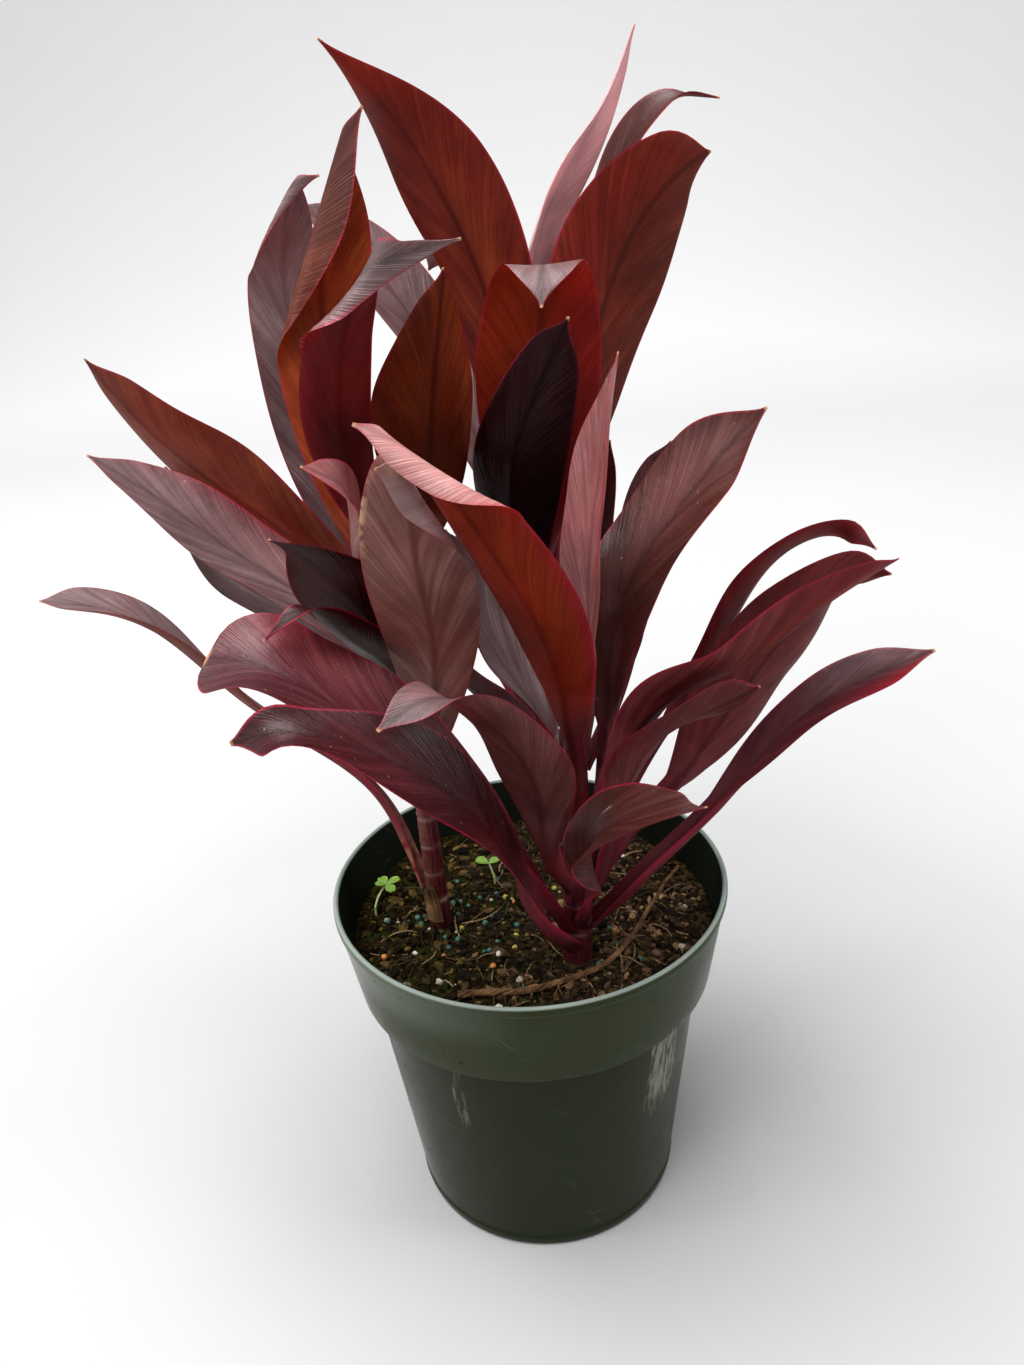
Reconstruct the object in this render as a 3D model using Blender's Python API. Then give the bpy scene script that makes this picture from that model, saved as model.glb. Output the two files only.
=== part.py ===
"""Ti plant (Cordyline fruticosa) in its green nursery pot.

The pot is turned and filled with a potting mix. Three canes stand in plain holes in the mix, and each leaf
is one closed blade whose stalk clasps its cane. Sizes and places are in millimetres, with the origin at the
middle of the pot's base, +Z up and the plant's front towards -Y. The meshes are written in metres.
"""
import math

import bmesh
import bpy
import numpy as np
from mathutils import Vector

MM = 0.001

# pot
POT_HEIGHT = 148.0
RIM_RADIUS = 80.0
COLLAR_FOOT = (73.5, 108.3)
BODY_TOP_RADIUS = 68.8
BASE_RADIUS = 56.8
WALL = 1.8
FLOOR = 2.2
POT_SEGMENTS = 36
DRAIN_HOLES = 6
DRAIN_RING = 44.0
DRAIN_RADIUS = 5.0

# potting mix
SOIL_LEVEL = 128.0
SOIL_GAP = 0.4
SOIL_RINGS = 9
CHIPS = 34
CHIP_SEED = 11

# seedlings: foot on the mix, the points that the stem bends through above it, and the leaflets as bearing,
# rise, length and width
SEEDLING_STEM = 0.7
SEEDLING_DEPTH = 8.0
SEEDLINGS = {
    "seedling_left": ((-66, 9), [(2, 4, 6), (5, 7, 9)],
                      [(20, 20, 6, 5), (120, 10, 6, 5), (200, 25, 5, 4), (300, 5, 6, 5)]),
    "seedling_middle": ((-15, 24), [(-1, 1, 6), (-2, 2, 9)], [(160, 20, 6, 6), (30, 15, 5, 5)]),
    "seedling_right": ((54, 22), [(3, 1, 6), (6, 3, 10)], [(40, 10, 7, 8), (170, 30, 4, 4)]),
}
SEEDLING_FEET = {name: row[0] for name, row in SEEDLINGS.items()}

# dry root across the mix
ROOT_RADIUS = 1.5
ROOT_PATH = [(-30, -48, 0), (-7, -48, 0), (16, -42, 0), (34, -30, 0), (44, -12, 0), (54, 6, 0), (66, 26, 0)]

# old leaf scars, and the dry sheath round the left cane's foot
SCAR_STEP = 13.0
SCAR_DEPTH = 0.3
SHEATH_SPAN = (131, 152)
SHEATH_BEARING = 245

# canes: foot and head of the axis, radius at foot and head, length of the furled tip above the head
CANE_DEPTH = 40.0
CANE_SIDES = 10
HOLE_GAP = 0.4
CANES = {
    "left": dict(foot=(-38, 0, 128), head=(-40, -2, 260), radii=(4.6, 2.8), tip=10),
    "right": dict(foot=(17, -27, 128), head=(20, -30, 236), radii=(6.0, 3.4), tip=16),
    "back": dict(foot=(12, 34, 128), head=(14, 38, 276), radii=(5.0, 3.0), tip=16),
}

# leaves
BLADE = 0.8
RIB_HALF_WIDTH = 2.2
STALK_HALF_WIDTH = 2.8
TIP_SHARE = 0.1
SHEATH_GAP = 0.45
WAVES = 2.5

# Each leaf is grown by one rule from the values that a grower would note down: the cane it clasps, the height
# of its node above the mix, the bearing of its foot on the cane (0 is +X, 90 is away from the front), full
# width of the blade, the share of its length that is stalk, and the points that its midrib passes through.
# turn is the twist about the midrib and cup the half angle of the cross-section's arc, both in degrees and
# spaced evenly from foot to tip. shape gives the exponents of the outline, which swells as t^a (1 - t)^b.
# point is the share of the blade that is drawn in to the tip, and a small one leaves a blunt end. fold is
# where the blade is folded over: the share of the length, the slant of the fold line, the angle and the
# radius. lean is the bearing that the blade's own frame is measured from, where it isn't the foot's. stem is
# the half width of a stout stalk and foot how much the stalk gains at the cane.
LEAVES = {
    "left_leaf_low": dict(
        cane="left", node=14, out=155, lean=165, width=36, stalk=0.45,
        via=[(-59, 12, 186), (-107, 24, 222), (-151, 28, 263), (-179, 24, 272)],
        turn=(0, -20, -40, 0), shape=(1.0, 0.6)),
    "left_leaf_outer_top": dict(
        cane="left", node=87, out=157, lean=165, width=44, stalk=0.25,
        via=[(-52, 8, 264), (-80, 20, 293), (-124, 27, 331), (-141, 23, 359)],
        turn=(0, -60, -60, -60)),
    "left_leaf_outer_mid": dict(
        cane="left", node=69, out=182, width=38, stalk=0.22,
        via=[(-60, 3, 257), (-97, 0, 294), (-117, -3, 314), (-138, -3, 331)],
        turn=(0, 20, 20, 10)),
    "left_leaf_outer_under": dict(
        cane="left", node=58, out=130, lean=160, width=48, stalk=0.25,
        via=[(-65, 30, 239), (-109, 43, 271), (-121, 46, 292), (-128, 46, 315)],
        turn=(0, 15, -5, -5)),
    "left_leaf_dark": dict(
        cane="left", node=82, out=-118, lean=-130, width=46, stalk=0.25,
        via=[(-44, -15, 258), (-54, -28, 284), (-64, -37, 300), (-74, -40, 308)],
        turn=(0, -20, -20, 5), cup=(60, 15, 15)),
    "left_leaf_slender": dict(
        cane="left", node=64, out=-106, lean=-120, width=38, stalk=0.3,
        via=[(-39, -22, 248), (-45, -31, 261), (-54, -43, 276), (-64, -55, 289), (-76, -60, 282)],
        turn=(0, 0, 0, 0), cup=(60, 30, 35, 20), shape=(1.0, 1.6)),
    "left_leaf_front_fold": dict(
        cane="left", node=56, out=-45, lean=-90, width=33, stalk=0.2,
        via=[(-27, -38, 256), (-26, -54, 288), (-27, -58, 300), (-27, -61, 314), (-26, -63, 325),
        (-22, -63, 345)],
        turn=(0, 0, 0, 0, 0), cup=(60, 15, 0, 0), shape=(1.0, 0.5), wave=0.02, fold=(0.865, 56, 156, 4.5)),
    "left_leaf_tall_curled": dict(
        cane="left", node=105, out=68, lean=150, width=31, stalk=0.22,
        via=[(-60, 28, 290), (-66, 31, 324), (-69, 32, 359), (-70, 34, 382), (-66, 33, 400),
        (-64, 30, 420)],
        turn=(0, 40, 40, 40, 40), cup=(60, 30, 20, 15), shape=(1.0, 0.9), wave=0.02,
        fold=(0.91, 58, -155, 2.5)),
    "left_leaf_tall_rolled": dict(
        cane="left", node=119, out=174, lean=-150, width=33, stalk=0.2,
        via=[(-51, 3, 289), (-56, 6, 328), (-56, 8, 358), (-53, 8, 383), (-50, 8, 405), (-44, 8, 433)],
        turn=(0, -60, -60, -60, -60), cup=(60, 10, 0, 0, 0), shape=(1.0, 0.6), wave=0, point=0.25,
        fold=(0.775, -72, 158, 3)),
    "left_leaf_tall_folded": dict(
        cane="left", node=114, out=-64, lean=-50, width=23, stalk=0.3,
        via=[(-42, -11, 289), (-49, -16, 323), (-48, -27, 351), (-43, -33, 368), (-38, -35, 380),
        (-32, -35, 414)],
        turn=(0, 15, 15, 15, 15), cup=(60, 40, 25, 15), shape=(1.0, 1.3), wave=0.03,
        fold=(0.79, -66, 160, 2.5)),
    "left_leaf_small": dict(
        cane="left", node=107, out=-140, lean=-100, width=24, stalk=0.4,
        via=[(-50, -12, 272), (-50, -26, 297), (-48, -36, 315), (-49, -43, 324), (-54, -47, 329),
        (-59, -49, 332)],
        turn=(0, 40, 80, 60)),
    "left_leaf_inner": dict(
        cane="left", node=122, out=45, lean=-30, width=40, stalk=0.3,
        via=[(-28, -3, 293), (-24, -4, 321), (-19, -8, 351), (-13, -15, 382)],
        turn=(0, 55, 25, 5), shape=(1.1, 0.9)),
    "right_leaf_low_broad": dict(
        cane="right", node=15, out=-145, lean=-140, width=52, stalk=0.3,
        via=[(-3, -53, 193), (-19, -65, 222), (-54, -71, 262), (-76, -66, 276), (-95, -58, 277)],
        turn=(0, 40, 38, 25), shape=(0.9, 0.48), wave=0.02, stem=4.4, point=0.02, foot=1.4),
    "right_leaf_low_front": dict(
        cane="right", node=7, out=-120, lean=-125, width=27, stalk=0.3,
        via=[(0, -69, 186), (-26, -99, 251), (-46, -107, 268), (-63, -109, 275), (-79, -104, 270)],
        turn=(0, 50, 60, 15), shape=(1.0, 0.75), stem=5, foot=1.5),
    "right_leaf_drooping": dict(
        cane="right", node=34, out=-121, lean=-105, width=26, stalk=0.25,
        via=[(7, -51, 196), (5, -63, 221), (0, -76, 244), (-11, -86, 264), (-23, -93, 274),
        (-39, -103, 270)],
        turn=(0, 0, 0, 10, 20), shape=(0.8, 0.8), stem=3.8),
    "right_leaf_under": dict(
        cane="right", node=60, out=170, width=34, stalk=0.2,
        via=[(4, -22, 217), (-8, -14, 230), (-22, -4, 242), (-32, 0, 254)],
        turn=(0, -5, -15, -10)),
    "right_leaf_grey": dict(
        cane="right", node=74, out=-160, width=42, stalk=0.2,
        via=[(11, -30, 226), (-9, -15, 259), (-16, -13, 279), (-20, -12, 299)],
        turn=(0, 30, 35, 30)),
    "right_leaf_arching": dict(
        cane="right", node=52, out=-100, width=34, stalk=0.3,
        via=[(19, -46, 221), (15, -54, 254), (7, -62, 284), (-3, -69, 306), (-13, -77, 326),
        (-34, -82, 354)],
        turn=(0, 20, 25, 30), shape=(1.0, 0.9), wave=0, stem=3.5, foot=1.6, fold=(0.89, 68, 145, 3.5)),
    "right_leaf_spear": dict(
        cane="right", node=90, out=-60, width=34, stalk=0.25,
        via=[(25, -38, 265), (27, -40, 300), (32, -44, 332), (36, -48, 358)],
        turn=(0, -85, -75, -50), stem=3.2),
    "right_leaf_glossy": dict(
        cane="right", node=58, out=-15, lean=40, width=40, stalk=0.25,
        via=[(31, -29, 231), (34, -27, 261), (42, -25, 282), (56, -21, 300), (69, -20, 316),
        (85, -26, 335)],
        turn=(0, -5, 5, 15), shape=(1.0, 0.5), wave=0.08, stem=3.2, point=0.2),
    "right_leaf_inner": dict(
        cane="right", node=88, out=95, lean=60, width=24, stalk=0.3,
        via=[(29, 0, 229), (32, 6, 263), (35, 8, 293), (39, 8, 321)],
        turn=(0, 25, 30, 25)),
    "right_leaf_behind": dict(
        cane="right", node=82, out=40, lean=55, width=32, stalk=0.35,
        via=[(43, -8, 250), (49, 2, 278), (55, 12, 297), (62, 18, 317)],
        turn=(0, 15, 30, 25)),
    "right_leaf_side_top": dict(
        cane="right", node=34, out=50, lean=40, width=26, stalk=0.33,
        via=[(51, 4, 199), (79, 18, 234), (92, 26, 252), (112, 29, 271), (132, 26, 275), (140, 19, 270)],
        turn=(0, 80, 70, 45), shape=(1.1, 1.0)),
    "right_leaf_side_broad": dict(
        cane="right", node=24, out=35, lean=25, width=44, stalk=0.32,
        via=[(40, -14, 175), (56, -6, 187), (84, 5, 217), (111, 8, 252), (126, 6, 265), (140, 2, 266)],
        turn=(0, 110, 90, 55), stem=4, foot=1.2),
    "right_leaf_side_front": dict(
        cane="right", node=36, out=-40, lean=-60, width=32, stalk=0.3,
        via=[(24, -40, 193), (33, -41, 220), (48, -40, 240), (72, -38, 250), (99, -32, 265),
        (132, -24, 281)],
        turn=(0, 25, -10, -20), cup=(60, 60, 60, 40), shape=(1.0, 0.6), stem=3.3),
    "right_leaf_side_small": dict(
        cane="right", node=28, out=-40, lean=-50, width=28, stalk=0.3,
        via=[(30, -41, 188), (37, -49, 219), (45, -52, 233), (59, -53, 242), (80, -49, 249)],
        turn=(0, -10, 0, 45), stem=3.6),
    "right_leaf_far": dict(
        cane="right", node=14, out=0, width=23, stalk=0.42,
        via=[(41, -32, 166), (65, -30, 189), (88, -28, 213), (110, -27, 232), (128, -26, 240),
        (146, -28, 248)],
        turn=(0, 0, -10, -15), shape=(1.0, 0.6), stem=4.4, point=0.2, foot=1.6),
    "right_leaf_over_rim": dict(
        cane="right", node=18, out=-71, lean=-20, width=36, stalk=0.22,
        via=[(20, -59, 192), (24, -73, 213), (34, -86, 224), (44, -94, 231), (53, -98, 235)],
        turn=(0, -65, 0, 20), cup=(60, 20, 10), shape=(1.1, 0.5), stem=3.4, point=0.2, foot=1.2),
    "back_leaf_tall_left": dict(
        cane="back", node=124, out=-170, lean=-160, width=44, stalk=0.25,
        via=[(5, 44, 304), (4, 50, 341), (-2, 52, 375), (-13, 52, 402), (-26, 50, 425), (-49, 40, 451)],
        turn=(0, -55, -35, -25), shape=(1.0, 0.62), point=0.35),
    "back_leaf_tall_right": dict(
        cane="back", node=114, out=-10, lean=-30, width=47, stalk=0.25,
        via=[(30, 40, 315), (38, 44, 349), (50, 46, 380), (61, 46, 396), (73, 48, 406), (82, 52, 410)],
        turn=(0, 50, 45, 40), shape=(1.1, 0.6)),
    "back_leaf_thin": dict(
        cane="back", node=132, out=105, lean=90, width=32, stalk=0.3,
        via=[(17, 58, 308), (14, 62, 346), (18, 63, 378), (30, 62, 405), (44, 60, 425), (56, 52, 450)],
        turn=(0, -35, -65, -65), shape=(1.1, 1.0)),
    "back_leaf_thin_arching": dict(
        cane="back", node=138, out=25, lean=50, width=20, stalk=0.35,
        via=[(33, 58, 311), (47, 74, 393), (59, 72, 420), (70, 68, 428), (87, 62, 427)],
        turn=(0, 30, 25, -5), shape=(1.1, 1.0)),
    "back_leaf_hooded": dict(
        cane="back", node=106, out=-100, lean=-90, width=43, stalk=0.22,
        via=[(15, 14, 335), (17, 8, 361), (18, 1, 375), (18, -6, 380), (17, -15, 378), (16, -22, 369)],
        turn=(0, 0, 0, 0, 0), cup=(40, 12, 8), shape=(1.0, 0.85), wave=0.02),
    "back_leaf_shaded": dict(
        cane="back", node=94, out=-140, lean=-110, width=36, stalk=0.2,
        via=[(3, 4, 296), (4, -6, 316), (12, -14, 340), (24, -24, 366)],
        turn=(0, 0, 15, 25)),
    "back_leaf_grey": dict(
        cane="back", node=100, out=150, lean=150, width=40, stalk=0.28,
        via=[(-4, 54, 303), (-31, 76, 361), (-59, 80, 395), (-70, 76, 403)],
        turn=(0, 25, 10, 10)),
    "back_leaf_drooping": dict(
        cane="back", node=112, out=85, lean=115, width=32, stalk=0.3,
        via=[(14, 72, 305), (2, 88, 344), (-8, 91, 369), (-16, 95, 380), (-23, 104, 375)],
        turn=(0, -15, -35, -25)),
    "rear_leaf_low": dict(
        cane="back", node=44, out=95, width=38, stalk=0.3,
        via=[(4, 70, 222), (0, 95, 248), (-4, 118, 258), (-6, 134, 248)],
        turn=(0, 10, 5, 0)),
    "rear_leaf_right": dict(
        cane="back", node=54, out=40, width=34, stalk=0.3,
        via=[(34, 62, 222), (48, 84, 245), (56, 100, 249), (61, 112, 238)],
        turn=(0, -10, 5, 0)),
    "rear_leaf_left": dict(
        cane="back", node=64, out=150, width=36, stalk=0.3,
        via=[(-14, 56, 232), (-38, 78, 254), (-56, 94, 254), (-70, 104, 240)],
        turn=(0, 10, -5, 0)),
    "rear_leaf_upright": dict(
        cane="back", node=82, out=55, width=34, stalk=0.28,
        via=[(22, 54, 252), (28, 72, 292), (33, 90, 325), (38, 104, 348)],
        turn=(0, 10, 0, 0)),
}


def spline(points, share):
    """Natural cubic through the points, spaced by chord length, at the given shares of that length."""
    points = np.asarray(points, float)
    knots = np.concatenate([[0.0], np.cumsum(np.linalg.norm(np.diff(points, axis=0), axis=1))])
    count = len(points)
    gap = np.diff(knots)
    system = np.eye(count)
    right = np.zeros_like(points)
    for i in range(1, count - 1):
        system[i, i - 1:i + 2] = gap[i - 1], 2 * (gap[i - 1] + gap[i]), gap[i]
        right[i] = 6 * ((points[i + 1] - points[i]) / gap[i] - (points[i] - points[i - 1]) / gap[i - 1])
    bend = np.linalg.solve(system, right)
    x = np.asarray(share) * knots[-1]
    i = np.clip(np.searchsorted(knots, x, side="right") - 1, 0, count - 2)
    after = (knots[i + 1] - x)[:, None]
    before = (x - knots[i])[:, None]
    h = gap[i][:, None]
    cubic = (bend[i] * after**3 + bend[i + 1] * before**3) / (6 * h)
    line = (points[i] / h - bend[i] * h / 6) * after + (points[i + 1] / h - bend[i + 1] * h / 6) * before
    return cubic + line


def ease(knots, share):
    """Value at each share, joined smoothly between knots spaced evenly from foot to tip."""
    knots = np.asarray(knots, float)
    at = np.linspace(0, 1, len(knots))
    i = np.clip(np.searchsorted(at, share, side="right") - 1, 0, len(knots) - 2)
    t = (share - at[i]) / (at[i + 1] - at[i])
    t = t * t * (3 - 2 * t)
    return knots[i] * (1 - t) + knots[i + 1] * t


def cane_axis(name, height):
    """Point on a cane's axis and the cane's radius there, by height above the pot's base."""
    cane = CANES[name]
    foot = np.array(cane["foot"], float)
    head = np.array(cane["head"], float)
    share = (height - foot[2]) / (head[2] - foot[2])
    first, last = cane["radii"]
    return foot + (head - foot) * share, first + (last - first) * share


def half_width(leaf, share):
    """Half width along the leaf: a stalk that widens into the clasping foot, then a blade drawn to a point."""
    t = np.clip((share - leaf["stalk"]) / (1 - leaf["stalk"]), 0, 1)
    a, b = leaf.get("shape", (1.1, 0.75))
    peak = a / (a + b)
    blade = t**a * (1 - t)**b / (peak**a * (1 - peak)**b)
    point = np.clip((1 - t) / leaf.get("point", TIP_SHARE), 0, 1)
    blade = blade * point * (2 - point)
    stalk = leaf.get("stem", STALK_HALF_WIDTH) + leaf.get("foot", 0.8) * np.clip(1 - share / 0.12, 0, 1)**2
    return stalk * (1 - 0.85 * t) + (leaf["width"] / 2 - 1.2) * blade


def fold_over(points, centre, across, along, out, fold):
    """Bends what lies beyond a slanting line round a cylinder, under the blade for a positive angle."""
    slant = math.radians(fold[1])
    angle = math.radians(abs(fold[2]))
    radius = fold[3]
    axis = math.cos(slant) * across + math.sin(slant) * along
    ahead = math.cos(slant) * along - math.sin(slant) * across
    way = -math.copysign(1.0, fold[2]) * out
    rel = points - centre
    depth = rel @ ahead
    rise = rel @ way
    swing = np.clip(depth / radius, 0, angle)
    rest = np.maximum(depth - radius * angle, 0)
    past = depth > 0
    bent_depth = np.where(past, (radius - rise) * np.sin(swing) + rest * np.cos(swing), depth)
    bent_rise = np.where(past, radius - (radius - rise) * np.cos(swing) + rest * np.sin(swing), rise)
    return (centre + (rel @ axis)[..., None] * axis + bent_depth[..., None] * ahead
            + bent_rise[..., None] * way)


def leaf_sheet(leaf, along, across):
    """Middle surface of a leaf as rows from foot to tip, each from margin to margin."""
    height = leaf["node"] + SOIL_LEVEL
    axis, radius = cane_axis(leaf["cane"], height)
    bearing = math.radians(leaf["out"])
    lean = math.radians(leaf.get("lean", leaf["out"]))
    clasp = radius + SHEATH_GAP + BLADE / 2
    foot = axis + clasp * np.array([math.cos(bearing), math.sin(bearing), 0])
    fine = spline([foot] + list(leaf["via"]), np.linspace(0, 1, 401))
    length = np.concatenate([[0.0], np.cumsum(np.linalg.norm(np.diff(fine, axis=0), axis=1))])
    share = np.linspace(0, 1, along + 1)
    at = share * length[-1]
    mid = np.stack([np.interp(at, length, fine[:, i]) for i in range(3)], -1)
    run = np.gradient(fine, axis=0)
    tangent = np.stack([np.interp(at, length, run[:, i]) for i in range(3)], -1)
    tangent /= np.linalg.norm(tangent, axis=1)[:, None]
    level = np.array([math.sin(lean), -math.cos(lean), 0])
    side = level - (tangent @ level)[:, None] * tangent
    side /= np.linalg.norm(side, axis=1)[:, None]
    normal = np.cross(side, tangent)
    turn = list(leaf["turn"])
    turn[0] += leaf.get("lean", leaf["out"]) - leaf["out"]
    turn = np.radians(ease(turn, share))[:, None]
    side, normal = (np.cos(turn) * side + np.sin(turn) * normal,
                    np.cos(turn) * normal - np.sin(turn) * side)
    half = half_width(leaf, share)[:, None]
    u = np.linspace(-1, 1, across + 1)[None, :]
    cup = list(leaf.get("cup", (60, 30, 25)))
    cup[0] = min(math.degrees(half[0, 0] / clasp), 75)
    arc = np.radians(ease(cup, share))[:, None]
    arc = np.where(np.abs(arc) < 0.001, 0.001, arc)
    x = half * np.sin(arc * u) / arc
    z = half * (1 - np.cos(arc * u)) / arc
    t = np.clip((share - leaf["stalk"]) / (1 - leaf["stalk"]), 0, 1)[:, None]
    wave = np.sin(2 * math.pi * WAVES * share[:, None] + leaf["node"] + 1.3 * np.sign(u))
    z = z + half * leaf.get("wave", 0.06) * np.sin(math.pi * t) * u**2 * wave
    points = mid[:, None] + x[..., None] * side[:, None] + z[..., None] * normal[:, None]
    if "fold" in leaf:
        at = leaf["fold"][0]
        centre, over, ahead, up = (
            np.array([np.interp(at, share, part[:, i]) for i in range(3)])
            for part in (mid, side, tangent, normal))
        points = fold_over(points, centre, over, ahead, up, leaf["fold"])
    return points, share, x


def sheet_normals(points):
    """Unit normals of a grid of points, on the side that faces up the blade."""
    ahead = np.gradient(points, axis=0)
    across = np.gradient(points, axis=1)
    normal = np.cross(across, ahead)
    return normal / np.linalg.norm(normal, axis=-1)[..., None]


def leaf_solid(leaf, along, across):
    """Closed blade: a sheet whose lower side thickens along the midrib."""
    points, share, x = leaf_sheet(leaf, along, across)
    rib = 1.5 * (1 - share[:, None])**1.2 * np.exp(-(x / RIB_HALF_WIDTH)**2)
    return closed_sheet(points, BLADE / 2, BLADE / 2 + rib)


def closed_sheet(points, above, below):
    """Closes a grid of points into a solid: its distance above the sheet, and below it at each point."""
    normal = sheet_normals(points)
    upper = points + normal * above
    lower = points - normal * below[..., None]
    rows, columns = points.shape[:2]
    verts = np.concatenate([upper.reshape(-1, 3), lower.reshape(-1, 3)])
    under = rows * columns
    index = np.arange(under).reshape(rows, columns)
    faces = []
    for i in range(rows - 1):
        for j in range(columns - 1):
            a, b, c, d = index[i, j], index[i, j + 1], index[i + 1, j + 1], index[i + 1, j]
            faces += [(a, b, c), (a, c, d)]
            faces += [(a + under, c + under, b + under), (a + under, d + under, c + under)]
    ring = list(index[0, :]) + list(index[1:, -1]) + list(index[-1, -2::-1]) + list(index[-2:0:-1, 0])
    for a, b in zip(ring, ring[1:] + ring[:1]):
        faces += [(b, a, a + under), (b, a + under, b + under)]
    return verts, faces


def material(name, colour, roughness):
    """Plain Principled material."""
    made = bpy.data.materials.get(name)
    if made is None:
        made = bpy.data.materials.new(name)
        made.use_nodes = True
        shader = made.node_tree.nodes["Principled BSDF"]
        shader.inputs["Base Color"].default_value = (*colour, 1.0)
        shader.inputs["Roughness"].default_value = roughness
    return made


def add_object(name, verts, faces, finish):
    """Mesh object from millimetre points, with its normals turned outwards."""
    mesh = bpy.data.meshes.new(name)
    mesh.from_pydata([Vector(v) * MM for v in np.asarray(verts, float).tolist()], [],
                     [tuple(int(i) for i in f) for f in faces])
    bm = bmesh.new()
    bm.from_mesh(mesh)
    if bm.calc_volume(signed=True) < 0:
        bmesh.ops.reverse_faces(bm, faces=bm.faces)
    bm.to_mesh(mesh)
    bm.free()
    mesh.materials.append(finish)
    made = bpy.data.objects.new(name, mesh)
    bpy.context.scene.collection.objects.link(made)
    return made


def boolean(target, tool, operation):
    """Applies a Boolean with one object, or with all the objects of a collection, and removes them."""
    step = target.modifiers.new(operation.lower(), "BOOLEAN")
    step.operation = operation
    step.solver = "MANIFOLD"
    if isinstance(tool, bpy.types.Collection):
        step.operand_type = "COLLECTION"
        step.collection = tool
        used = list(tool.objects)
    else:
        step.object = tool
        used = [tool]
    bpy.context.view_layer.update()
    shape = bpy.data.meshes.new_from_object(target.evaluated_get(bpy.context.evaluated_depsgraph_get()))
    target.modifiers.clear()
    target.data = shape
    for each in used:
        bpy.data.objects.remove(each)
    if isinstance(tool, bpy.types.Collection):
        bpy.data.collections.remove(tool)


def gather(name, objects):
    """Moves the objects into a collection of their own."""
    group = bpy.data.collections.new(name)
    bpy.context.scene.collection.children.link(group)
    for each in objects:
        bpy.context.scene.collection.objects.unlink(each)
        group.objects.link(each)
    return group


def turned(profile, segments):
    """Solid of revolution from (radius, height) points that start and end on the axis."""
    verts = [(0.0, 0.0, profile[0][1])]
    angles = [2 * math.pi * k / segments for k in range(segments)]
    for radius, height in profile[1:-1]:
        verts += [(radius * math.cos(a), radius * math.sin(a), height) for a in angles]
    verts.append((0.0, 0.0, profile[-1][1]))
    last = len(verts) - 1
    faces = []
    for k in range(segments):
        n = (k + 1) % segments
        faces.append((0, 1 + n, 1 + k))
        for ring in range(len(profile) - 3):
            low, high = 1 + ring * segments, 1 + (ring + 1) * segments
            faces.append((low + k, low + n, high + n, high + k))
        top = 1 + (len(profile) - 3) * segments
        faces.append((top + k, top + n, last))
    return verts, faces


def tube(path, radii, sides, turn=0.0):
    """Closed round tube along a path, with a point where a radius is zero and a flat cap elsewhere."""
    path = np.asarray(path, float)
    tangent = np.gradient(path, axis=0)
    tangent /= np.linalg.norm(tangent, axis=1)[:, None]
    first = np.array([1.0, 0, 0]) if abs(tangent[0, 0]) < 0.9 else np.array([0, 1.0, 0])
    verts = []
    rings = []
    for point, ahead, radius in zip(path, tangent, radii):
        first = first - (first @ ahead) * ahead
        first /= np.linalg.norm(first)
        second = np.cross(ahead, first)
        if radius == 0:
            rings.append([len(verts)] * sides)
            verts.append(point)
            continue
        rings.append(list(range(len(verts), len(verts) + sides)))
        for k in range(sides):
            a = turn + 2 * math.pi * k / sides
            verts.append(point + radius * (math.cos(a) * first + math.sin(a) * second))
    faces = []
    for low, high in zip(rings, rings[1:]):
        for k in range(sides):
            n = (k + 1) % sides
            face = (low[k], low[n], high[n], high[k])
            faces.append(tuple(dict.fromkeys(face)))
    if radii[0] > 0:
        faces.append(tuple(reversed(rings[0])))
    if radii[-1] > 0:
        faces.append(tuple(rings[-1]))
    return verts, faces


def soil_height(x, y):
    """Height of the mix: nearly level, with soft humps a few centimetres apart."""
    humps = 1.1 * np.sin(x / 9.0 + 0.7) * np.cos(y / 11.0)
    humps = humps + 0.8 * np.sin((x + y) / 7.0) * np.cos((x - 2 * y) / 15.0)
    return SOIL_LEVEL - 0.8 + humps


def inner_radius(height):
    """Radius of the pot's inner wall at a height in its collar."""
    share = (height - COLLAR_FOOT[1]) / (POT_HEIGHT - COLLAR_FOOT[1])
    return COLLAR_FOOT[0] + (RIM_RADIUS - COLLAR_FOOT[0]) * share - WALL - 0.4


def build_pot():
    step = COLLAR_FOOT[1]
    profile = [
        (0, 0), (BASE_RADIUS - 2.0, 0), (BASE_RADIUS, 1.2), (BASE_RADIUS + 0.6, 5.0),
        (BASE_RADIUS + 0.2, 6.2), (BODY_TOP_RADIUS, step), (COLLAR_FOOT[0], step),
        (RIM_RADIUS - 0.9, POT_HEIGHT - 4.2),
        (RIM_RADIUS, POT_HEIGHT - 3.2), (RIM_RADIUS, POT_HEIGHT - 0.8), (RIM_RADIUS - 0.8, POT_HEIGHT),
        (inner_radius(POT_HEIGHT) + 0.6, POT_HEIGHT), (inner_radius(POT_HEIGHT), POT_HEIGHT - 0.7),
        (inner_radius(step + 2.5), step + 2.5), (BODY_TOP_RADIUS - WALL, step - 2.0),
        (BASE_RADIUS - WALL, FLOOR), (0, FLOOR)]
    plastic = material("pot_plastic", (0.02, 0.045, 0.03), 0.3)
    pot = add_object("nursery_pot", *turned(profile, POT_SEGMENTS), plastic)
    drills = []
    for k in range(DRAIN_HOLES):
        a = 2 * math.pi * (k + 0.5) / DRAIN_HOLES
        path = [(DRAIN_RING * math.cos(a), DRAIN_RING * math.sin(a), z) for z in (-2.0, FLOOR + 2.0)]
        drills.append(add_object(f"drill_{k}", *tube(path, [DRAIN_RADIUS] * 2, 12), pot.data.materials[0]))
    boolean(pot, gather("drills", drills), "DIFFERENCE")
    return pot


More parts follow.
